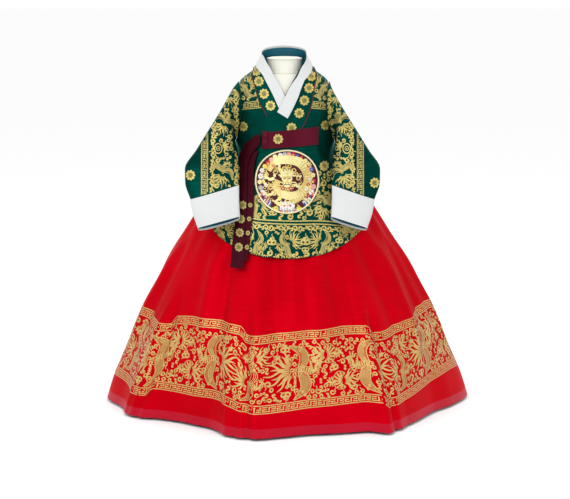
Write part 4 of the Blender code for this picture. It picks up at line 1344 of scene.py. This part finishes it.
# Where small curls fill the gaps of the jacket's panels: low corner, high corner.
GAP_BOXES = (
    ((-132, 322), (132, 372)), ((-124, 392), (124, 432)), ((-110, 432), (-66, 478)),
    ((62, 432), (108, 478)), ((-110, 616), (-40, 692)), ((34, 616), (104, 692)),
)
BODY_FLOWERS = (
    (-88.0, 567.4), (77.3, 570.0), (74.4, 490.5), (-78.0, 486.0),
)
BACK_FLOWERS = (
    (-62.0, 560.0), (0.0, 560.0), (62.0, 560.0), (-32.0, 515.0), (32.0, 515.0), (-96.0, 480.0),
    (-48.0, 464.0), (48.0, 464.0), (96.0, 480.0), (0.0, 476.0),
)
FLOWER_RADIUS = 10.0
JACKET_INKS = {"gold": "gold", "soft": "soft gold", "thread": "thread", "olive": "olive"}
# On the tails the gold is the darker gold, painted shade like the tails' wine.
TAIL_INKS = dict(JACKET_INKS, gold="soft gold")
# Flowers on the narrow pieces: name, piece, radius, inks, and x and height of each.
FLOWER_ROWS = (
    ("collar_gold_0", "collar_cloth_right", FLOWER_RADIUS, JACKET_INKS,
     ((49.0, 668.0), (44.0, 645.0), (34.5, 621.0), (24.2, 596.5), (9.1, 568.0))),
    ("collar_gold_1", "collar_cloth_left", FLOWER_RADIUS, JACKET_INKS,
     ((-62.0, 678.0), (-56.4, 658.0), (-45.7, 634.0), (-32.8, 611.0))),
    ("collar_gold_back", "collar_cloth_back", FLOWER_RADIUS, JACKET_INKS,
     ((-44.0, 690.0), (-16.0, 698.0), (14.0, 698.0), (40.0, 690.0))),
    ("loop_gold", "loop_cloth", FLOWER_RADIUS, JACKET_INKS, ((-17.5, 546.0),)),
    ("tail_gold", "tail_cloth_front", 8.2, TAIL_INKS,
     ((-87.3, 417.6), (-91.0, 391.5), (-93.0, 366.5), (-94.5, 340.0))),
    ("tail_gold_back", "tail_cloth_back", 4.5, TAIL_INKS,
     ((-72.6, 418.0), (-74.6, 392.0), (-76.8, 366.0), (-78.4, 340.0))),
)
BORDER_BAND = 14.5
SHOULDER_MIDDLE = -6.0
SLEEVE_MIDDLE = -9.0
HEM_SCROLLS = ((-140, 370), (-100, 380), (-50, 377), (0, 375), (60, 374), (135, 366))
HEM_LINE = ((-200, 374), (-138, 381), (-101, 392), (-55, 388), (0, 386), (60, 385), (100, 381), (130, 375),
            (200, 368))
HEM_MOTIFS = (
    ("phoenix", 2, 345, 28, 0.52, True), ("phoenix", 70, 345, -28, 0.52), ("phoenix", -62, 346, -28, 0.50),
    ("phoenix", -126, 362, 20, 0.42, True), ("phoenix", 128, 362, -20, 0.40), ("cloud", 36, 350, 0, 17),
    ("cloud", 36, 336, 180, 13), ("cloud", -30, 350, 0, 16), ("cloud", -94, 352, 10, 15),
    ("cloud", 103, 350, -10, 14), ("curl", -34, 330, 40, 10), ("hook", 16, 327, 0, 11),
    ("curl", 54, 328, 20, 10), ("hook", -14, 327, 0, 11), ("curl", 84, 331, 60, 10),
    ("hook", -80, 336, 30, 10), ("hook", 38, 325, 10, 11), ("curl", 2, 324, 100, 9),
    ("curl", -52, 328, 60, 9), ("hook", 68, 328, 100, 10), ("curl", 98, 336, 30, 9),
    ("curl", 118, 345, 30, 9),
)
BACK_SHOULDER_MOTIFS = (
    ("phoenix", -30, 648, 20, 0.46, True), ("phoenix", 22, 648, -20, 0.46), ("cloud", -4, 670, 0, 14),
    ("curl", -4, 630, 0, 10), ("hook", 24, 624, 0, 9), ("hook", -34, 624, 0, 9),
)
WAIST_MOTIFS = (
    ("phoenix", 76, 420, 60, 0.50), ("phoenix", -58, 416, 0, 0.46, True), ("cloud", -28, 404, 0, 14),
    ("curl", 44, 404, 30, 11), ("hook", 26, 400, 20, 11), ("curl", 6, 397, 0, 10),
    ("hook", -12, 397, 30, 11), ("cloud", 58, 440, 20, 14), ("curl", 72, 458, 60, 11),
    ("hook", 94, 446, 80, 11), ("curl", -52, 444, 20, 11), ("hook", -66, 462, 60, 10),
    ("curl", 96, 412, 80, 10), ("curl", 84, 476, 10, 10), ("hook", 100, 430, 120, 10),
    ("curl", -38, 430, 100, 9), ("hook", 58, 408, 60, 10), ("hook", 40, 418, 150, 9),
    ("curl", 106, 398, 0, 10), ("hook", -102, 410, 0, 11), ("curl", -114, 400, 30, 10),
    ("phoenix", -128, 420, 40, 0.4, True), ("phoenix", 128, 414, -10, 0.4), ("curl", 66, 394, 120, 9),
    ("hook", -44, 398, 40, 10),
)


def drum():
    """A round drum with a spray of leaves beside it."""
    made = hoop(0.0, 0.0, 7.6, 1.9, tall=1.25) + hoop(0.0, 0.0, 3.4, 1.3, 14, 1.2)
    made += disc(0.0, 0.0, 1.2, sides=8)
    for angle in (-70.0, -35.0, 0.0, 35.0, 70.0):
        made += placed(plume((0, 0), (14, 0), 0.12, 3.2), 10.0, 3.0, angle)
    made += placed(curl(8.0, 1.9), 20.0, 16.0, 60.0) + placed(curl(7.0, 1.8), 17.0, -12.0, 200.0)
    return made


def motifs(table, mirror_about=None):
    """The motifs of a table; mirror_about copies them to the other side of that x."""
    made = []
    for kind, x, height, turn, size, *mirrored in table:
        mirror = bool(mirrored)
        if kind == "phoenix":
            shape = placed(phoenix(), scale=size)
        elif kind == "drum":
            shape = drum()
        else:
            shape = small_motif(kind, size, JACKET_LINE)
        if mirror_about is not None:
            x = 2.0 * mirror_about - x
            turn = -turn
            mirror = not mirror
        made += placed(shape, x, height, turn, 1.0, mirror)
    return made


def flowers(places, radius=FLOWER_RADIUS):
    made = []
    for number, (x, height) in enumerate(places):
        made += placed(flower(radius), x, height, 11.0 * number)
    return made


def border_between(start, end, depth):
    """A key border from one point to another, its depth to the left of the way."""
    way = np.array(end, float) - np.array(start, float)
    turn = math.degrees(math.atan2(way[1], way[0]))
    border = key_border(float(np.linalg.norm(way)), depth, depth * 1.35)
    return placed(border, start[0], start[1], turn)


def double_line(path, width, apart):
    line = smooth(path, 14)
    return stroke(line + (0.0, apart / 2.0), width) + stroke(line - (0.0, apart / 2.0), width)


def sleeve_drawing(side):
    """The gold panel down a sleeve; side is -1 for the viewer's left."""
    panel = motifs(SLEEVE_MOTIFS)
    panel += scroll_row([(-147, 590), (-147, 520), (-149, 440)], 8.5, 8.5)
    panel += scroll_row([(-104, 640), (-101, 560), (-100, 500), (-101, 440)], 8.5, 9.0)
    panel += fill_gaps(panel, (-146.0, 440.0), (-108.0, 660.0), size=7.5)
    panel += border_between((-156.0, 420.0), (-158.0, 592.0), 13.5)
    panel += flowers([(-191.7, 475.6 if side < 0 else 461.0)])
    return panel if side < 0 else placed(panel, 2.0 * SLEEVE_MIDDLE, mirror=True)


def with_lower_patterns(upper):
    """A drawing of the shoulders with the hem, the waist and small curls in the gaps added."""
    drawing = upper + double_line(HEM_LINE, 2.1, 6.0) + scroll_row(HEM_SCROLLS, 9.5, 9.5)
    drawing += motifs(HEM_MOTIFS) + motifs(WAIST_MOTIFS)
    for low, high in GAP_BOXES:
        drawing += fill_gaps(drawing, low, high, size=7.5)
    return drawing


def make_jacket_patterns():
    def cast(from_behind, *names):
        return Cast([bpy.data.objects[name] for name in names], from_behind)

    shoulders = motifs(SHOULDER_MOTIFS) + motifs(SHOULDER_MOTIFS, SHOULDER_MIDDLE)
    front = shoulders + border_between((-108.0, 598.5), (-46.0, 607.0), BORDER_BAND)
    front += border_between((34.0, 607.0), (98.0, 598.5), BORDER_BAND) + flowers(BODY_FLOWERS)
    ink_mesh("front_gold", with_lower_patterns(front), cast(False, "over_front", "under_front"), JACKET_INKS)
    back = shoulders + border_between((-108.0, 600.0), (96.0, 600.0), BORDER_BAND)
    back += motifs(BACK_SHOULDER_MOTIFS) + flowers(BACK_FLOWERS)
    ink_mesh("back_gold", with_lower_patterns(back), cast(True, "back_right", "back_left"), JACKET_INKS)
    for side, name in ((-1, "left"), (1, "right")):
        drawing = sleeve_drawing(side)
        ink_mesh("sleeve_gold_" + name, drawing, cast(False, "sleeve_cloth_" + name), JACKET_INKS)
        ink_mesh("sleeve_back_gold_" + name, drawing, cast(True, "sleeve_cloth_" + name), JACKET_INKS)
    for name, cloth, radius, inks, places in FLOWER_ROWS:
        ink_mesh(name, flowers(places, radius), cast(cloth == "collar_cloth_back", cloth), inks)


CORD_SIDES = 8
PIPING_RADIUS = 1.15 * MM


def tube_mesh(name, path, radius, material, closed=False):
    """A round cord along a path of points."""
    path = np.array(path, float)
    if closed:
        along = unit(np.roll(path, -1, axis=0) - np.roll(path, 1, axis=0))
    else:
        along = unit(np.gradient(path, axis=0))
    across = unit(np.cross(along, (0.02, -1.0, 0.03)))
    beyond = np.cross(along, across)
    turn = np.linspace(0.0, 2.0 * np.pi, CORD_SIDES, endpoint=False)
    rings = (path[:, None] + radius * (np.cos(turn)[None, :, None] * across[:, None]
                                       + np.sin(turn)[None, :, None] * beyond[:, None]))
    if closed:
        rings = np.concatenate([rings, rings[:1]])
    mesh = grid_mesh(name, rings, closed=True)
    link_piece(name, mesh)
    mesh.materials.append(MATERIALS[material])


def make_piping():
    for name in ("right", "left", "back"):
        layer = level(SECOND + COLLAR_EASE + 0.8 * WALL, name == "right")
        edge = strip_points(collar_stations(name), -0.012, 0.0, layer, 8, 2)[0]
        tube_mesh("piping_" + name, edge, PIPING_RADIUS, "piping")


# Roundel: the coils of the dragon's body as flat paths with half widths.
DRAGON_COILS = (
    (((-36, 22), (-26, 38), (-4, 44), (22, 40), (38, 24), (42, 2), (32, -18), (12, -26), (-10, -22),
      (-22, -10), (-18, 4)), (3.5, 6.0, 7.5, 8.0, 8.0, 7.5, 7.5, 7.0, 6.5, 6.0, 5.0)),
    (((-30, -34), (-14, -42), (6, -40), (22, -34), (34, -30)), (1.0, 3.5, 4.5, 3.5, 1.0)),
)
DRAGON_LEGS = ((-36, 8, 160), (38, 30, 30), (-34, -22, 200), (30, -30, -40), (-14, 30, 100), (18, -8, -20))
DRAGON_FACE = ((-9, 13), (-11, 7), (-8.5, 1), (-7.5, -5), (-4.5, -9), (0, -10), (4.5, -9), (7.5, -5),
               (8.5, 1), (11, 7), (9, 13), (4, 16), (-4, 16))
# Curls and hooks between the coils: x, y, turn, and the size or the ink.
DRAGON_CURLS = (
    (-24, 20, 20, 10), (14, 22, 200, 11), (22, 8, 100, 10), (-16, 24, 140, 9), (26, -4, 30, 9),
    (-34, -10, 60, 10), (-26, -22, 150, 10), (4, 31, 80, 9), (-6, 28, 10, 8), (38, 18, 0, 9),
    (-42, 14, 90, 9), (-20, -2, 220, 9), (20, 16, 320, 8), (44, 2, 140, 8), (-40, 30, 20, 8),
)
DRAGON_HOOKS = (
    (-26, 10, 40, "cream"), (24, 12, 140, "cream"), (-30, -4, 10, "gold bright"),
    (26, -12, 60, "gold bright"), (-18, -34, 0, "cream"), (0, 26, 90, "gold bright"),
    (-46, 0, 90, "cream"), (47, -12, 60, "cream"), (12, -34, 20, "gold bright"),
)
# Small coloured shapes round the rim: angle from the top to the right, distance out, radius, ink.
RIM_DOTS = (
    (-14, 54, 4.0, "white"), (-5, 55, 3.6, "grey"), (4, 54, 4.2, "pink"), (13, 55, 4.0, "red"),
    (22, 54, 3.8, "blue"), (31, 55, 3.4, "red"), (42, 55, 3.8, "cream"), (54, 54, 3.4, "red"),
    (64, 55, 4.0, "blue"), (76, 54, 3.6, "cream"), (88, 53, 3.8, "red"), (100, 54, 4.4, "pink"),
    (112, 53, 4.6, "white"), (122, 50, 3.2, "red"), (130, 54, 3.4, "cream"), (-26, 55, 3.8, "cream"),
    (-36, 54, 4.0, "pink"), (-46, 53, 4.4, "red"), (-56, 54, 3.8, "yellow"), (-66, 55, 3.8, "white"),
    (-78, 54, 4.6, "white"), (-90, 55, 3.6, "cream"), (-102, 54, 4.0, "grey"), (-113, 53, 4.6, "white"),
    (-124, 51, 3.6, "red"), (-132, 55, 3.2, "pink"), (96, 43, 3.2, "red"), (108, 41, 3.0, "white"),
    (-40, 42, 3.0, "red"), (-98, 42, 3.0, "white"), (84, 46, 2.8, "white"),
)
EDGE_RADIUS = 1.7 * MM


def rosette(radius, ink, heart):
    made = []
    for number in range(6):
        turn = math.radians(60.0 * number)
        made += disc(radius * 0.62 * math.cos(turn), radius * 0.62 * math.sin(turn), radius * 0.42, ink, 10)
    return made + disc(0.0, 0.0, radius * 0.34, heart, 10)


def wave_fan(x, y, turn, inks=("blue", "white")):
    """Slanting stripes of sea water beside the foot of the roundel."""
    made = []
    for number in range(7):
        start = -9.0 + 3.0 * number
        line = smooth([(start, -7.0), (start + 1.5, 0.0), (start - 1.0, 7.0)], 3)
        made += placed(stroke(line, (1.5, 2.4, 1.3), inks[number % 2]), x, y, turn)
    return made


def dragon_roundel():
    """A coiled dragon among clouds and flowers over waves, drawn round (0, 0) to fill the roundel."""
    made = []
    for angle, out, radius, ink in RIM_DOTS:
        x = out * math.sin(math.radians(angle))
        y = out * math.cos(math.radians(angle))
        shape = placed(rosette(radius * 1.25, ink, "gold bright"), x, y, angle)
        made += shape + placed(curl(radius * 1.9, 1.3, "gold bright"), x * 0.86, y * 0.86, angle * 3.0)
    for side in (-1.0, 1.0):
        made += wave_fan(side * 41.0, -37.0, side * 38.0)
        made += placed(cloud(13.0, "yellow"), side * 24.0, -53.0, side * 20.0)
        made += placed(rosette(5.5, "red", "white"), side * 54.0, -24.0)
        made += placed(rosette(4.6, "red", "gold bright"), side * 15.0, -57.0)
        made += wave_fan(side * 8.0, -56.0, side * 8.0, ("grey", "white"))
    made += placed(rosette(8.5, "white", "pink"), -6.5, -45.0)
    made += placed(rosette(8.5, "white", "pink"), 7.0, -45.0)
    made += disc(-6.0, -45.0, 1.8, "red", 8) + disc(6.5, -45.0, 1.8, "red", 8)
    made += disc(0.0, -56.0, 3.6, "orange", 10) + disc(-15.0, -31.0, 4.2, "yellow", 12)
    for path, half_widths in DRAGON_COILS:
        line = smooth(path, 6)
        half = 1.15 * spread(half_widths, len(line))
        made += stroke(line, half * 2.0, "cream")
        for offset in (-0.78, 0.78):
            made += stroke(line + left_of(line) * (half * offset)[:, None], 1.4, "gold bright")
        made += ribbed(path, half_widths, len(path) * 4, "gold bright", 0.8, 0.6, 0.42)
        for number in range(3, len(line) - 2, 3):
            along = line[number + 1] - line[number - 1]
            out = np.array([-along[1], along[0]]) / np.linalg.norm(along)
            root = line[number] + out * half[number]
            made += stroke([root, root + out * 4.0 + along * 0.3], (2.6, 0.5), "cream")
    for x, y, turn in DRAGON_LEGS:
        leg = stroke(smooth([(-8, -2), (-2, 2), (4, 0)], 4), (6.5, 5.0, 4.0), "cream")
        for angle in (-50.0, -18.0, 14.0, 46.0):
            leg += placed(plume((0, 0), (9, 0), 0.14, 2.3, "cream"), 4.0, 0.0, angle)
        made += placed(leg, x, y, turn)
    for x, y, turn, size in DRAGON_CURLS:
        made += placed(curl(size, 2.0, "gold bright"), x, y, turn)
    for number in range(9):
        angle = 20.0 + 140.0 * number / 8.0
        made += placed(plume((8, 0), (19, 0), 0.12, 3.4, "cream"), 0.0, 8.0, angle)
        made += placed(plume((8, 0), (17, 0), 0.12, 3.0, "gold bright"), 0.0, -2.0, -angle)
    made += fill(DRAGON_FACE, "cream")
    made += stroke(smooth([(0.0, 13.0), (0.6, 6.0), (0.0, 0.5)], 3), (3.4, 1.8, 3.0), "gold bright")
    mouth = smooth([(-6.4, -5.6), (-3.0, -3.6), (0.0, -4.4), (3.0, -3.6), (6.4, -5.6)], 3)
    made += stroke(mouth, 1.7, "black")
    for tooth in (-4.2, -1.4, 1.4, 4.2):
        made += stroke([(tooth, -4.6), (tooth, -6.6)], (1.3, 0.4), "white")
    for side in (-1.0, 1.0):
        eye = smooth([(side * 2.2, 6.4), (side * 5.0, 8.0), (side * 8.0, 7.4)], 3)
        brow = smooth([(side * 1.6, 8.6), (side * 5.0, 11.2), (side * 9.6, 10.4)], 3)
        horn = smooth([(side * 5.0, 14.0), (side * 11.0, 20.0), (side * 10.0, 26.0)], 4)
        whisker = smooth([(side * 5.0, -1.0), (side * 16.0, 0.0), (side * 22.0, -6.0),
                          (side * 28.0, -2.0)], 4)
        made += stroke(eye, (0.8, 2.4, 0.8), "black") + disc(side * 5.0, 7.6, 0.7, "orange", 8)
        made += stroke(brow, (2.2, 2.6, 0.8), "gold bright")
        made += placed(curl(5.0, 1.3, "gold bright"), side * 8.0, 0.0, 30.0, 1.0, side < 0.0)
        made += stroke(horn, (3.0, 2.2, 0.8), "cream") + stroke(whisker, (2.0, 1.8, 0.6), "cream")
        made += placed(rosette(4.2, "red", "white"), side * 8.0, -12.0)
        made += disc(side * 2.4, -0.8, 1.0, "black", 8)
        made += disc(side * 8.0, 36.0, 2.0, "black", 8)
    made += disc(0.0, 38.0, 4.2, "orange", 12, 0.6)
    for x, y, turn, ink in DRAGON_HOOKS:
        made += placed(hook(9.0, 2.3, ink), x, y, turn)
    return made


def make_roundel_pattern():
    inks = {"gold bright": "thread gold", "cream": "thread cream"}
    inks.update((name, "thread " + name) for name in THREAD_COLOURS)
    drawing = placed(dragon_roundel(), ROUNDEL_CENTRE[0] / MM, ROUNDEL_CENTRE[1] / MM, 0.0, 0.985)
    ink_mesh("roundel_embroidery", drawing, Cast([bpy.data.objects["roundel_ground"]]), inks)
    turn = np.linspace(0.0, 2.0 * np.pi, 96, endpoint=False)
    x = ROUNDEL_CENTRE[0] + (ROUNDEL_RADIUS - EDGE_RADIUS) * np.sin(turn)
    height = ROUNDEL_CENTRE[1] - (ROUNDEL_RADIUS - EDGE_RADIUS) * np.cos(turn)
    path = body(angle_at(x, height), height, THIRD + ROUNDEL_EASE + WALL + 0.4 * EDGE_RADIUS + 0.0 * x)
    tube_mesh("roundel_edge", path, EDGE_RADIUS, "thread cord", closed=True)


NODE_MATERIALS = {"form_torso": "cover", "form_neck": "cover", "form_neck_cap": "cover", "form_pole": "steel",
                  "form_base": "steel", "skirt_band_left": "band", "skirt_band_right": "band"}


def dress_form_nodes():
    """Materials for the CAD solids that stay in the scene."""
    for name, material in NODE_MATERIALS.items():
        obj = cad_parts[name]
        obj.data.materials.clear()
        obj.data.materials.append(MATERIALS[material])


# Stage

# Lights: name, place, target, size and power.
LIGHTS = (
    ("key", (-1.2, -2.4, 2.2), (0.0, 0.0, 0.35), 1.6, 27.0),
    ("fill", (1.9, -2.2, 1.3), (0.0, 0.0, 0.35), 1.8, 9.0),
    ("top", (0.0, 0.6, 2.6), (0.0, 0.0, 0.4), 1.6, 12.0),
)
FLOOR_REACH = 400.0
CAMERA_PLACE = (-0.004, -3.2, 0.81)
CAMERA_AIM = (-0.004, 0.0, 0.31)
CAMERA_LENS = 99.0


def aimed(name, data, place, target):
    """A light or a camera at a place, turned to its target."""
    obj = bpy.data.objects.new(name, data)
    obj.location = place
    obj.rotation_euler = (Vector(target) - Vector(place)).to_track_quat("-Z", "Y").to_euler()
    bpy.context.scene.collection.objects.link(obj)
    return obj


def make_stage():
    floor_mesh = bpy.data.meshes.new("floor")
    corners = [(x * FLOOR_REACH, y * FLOOR_REACH, 0.0) for x, y in ((-1, -1), (1, -1), (1, 1), (-1, 1))]
    floor_mesh.from_pydata(corners, [], [(0, 1, 2, 3)])
    floor = bpy.data.objects.new("floor", floor_mesh)
    bpy.context.scene.collection.objects.link(floor)
    paper, _, _ = new_material("pale floor", Base_Color=(0.97, 0.97, 0.97, 1.0), Roughness=0.9)
    floor_mesh.materials.append(paper)
    world = bpy.data.worlds.new("soft white")
    world.use_nodes = True
    sky = world.node_tree.nodes["Background"]
    sky.inputs["Color"].default_value = (1.0, 1.0, 1.0, 1.0)
    sky.inputs["Strength"].default_value = 1.0
    bpy.context.scene.world = world
    for name, place, target, size, power in LIGHTS:
        data = bpy.data.lights.new(name, "AREA")
        data.shape = "SQUARE"
        data.size = size
        data.energy = power
        aimed(name, data, place, target)


def make_camera():
    data = bpy.data.cameras.new("camera")
    data.sensor_width = 36.0
    data.lens = CAMERA_LENS
    bpy.context.scene.camera = aimed("camera", data, CAMERA_PLACE, CAMERA_AIM)


bpy.context.scene.view_settings.view_transform = "Standard"
make_camera()
make_stage()
dress_form_nodes()
make_skirt()
make_jacket_body()
make_sleeves()
make_collar()
make_tie()
make_roundel_ground()
make_skirt_band()
make_jacket_patterns()
make_piping()
make_roundel_pattern()
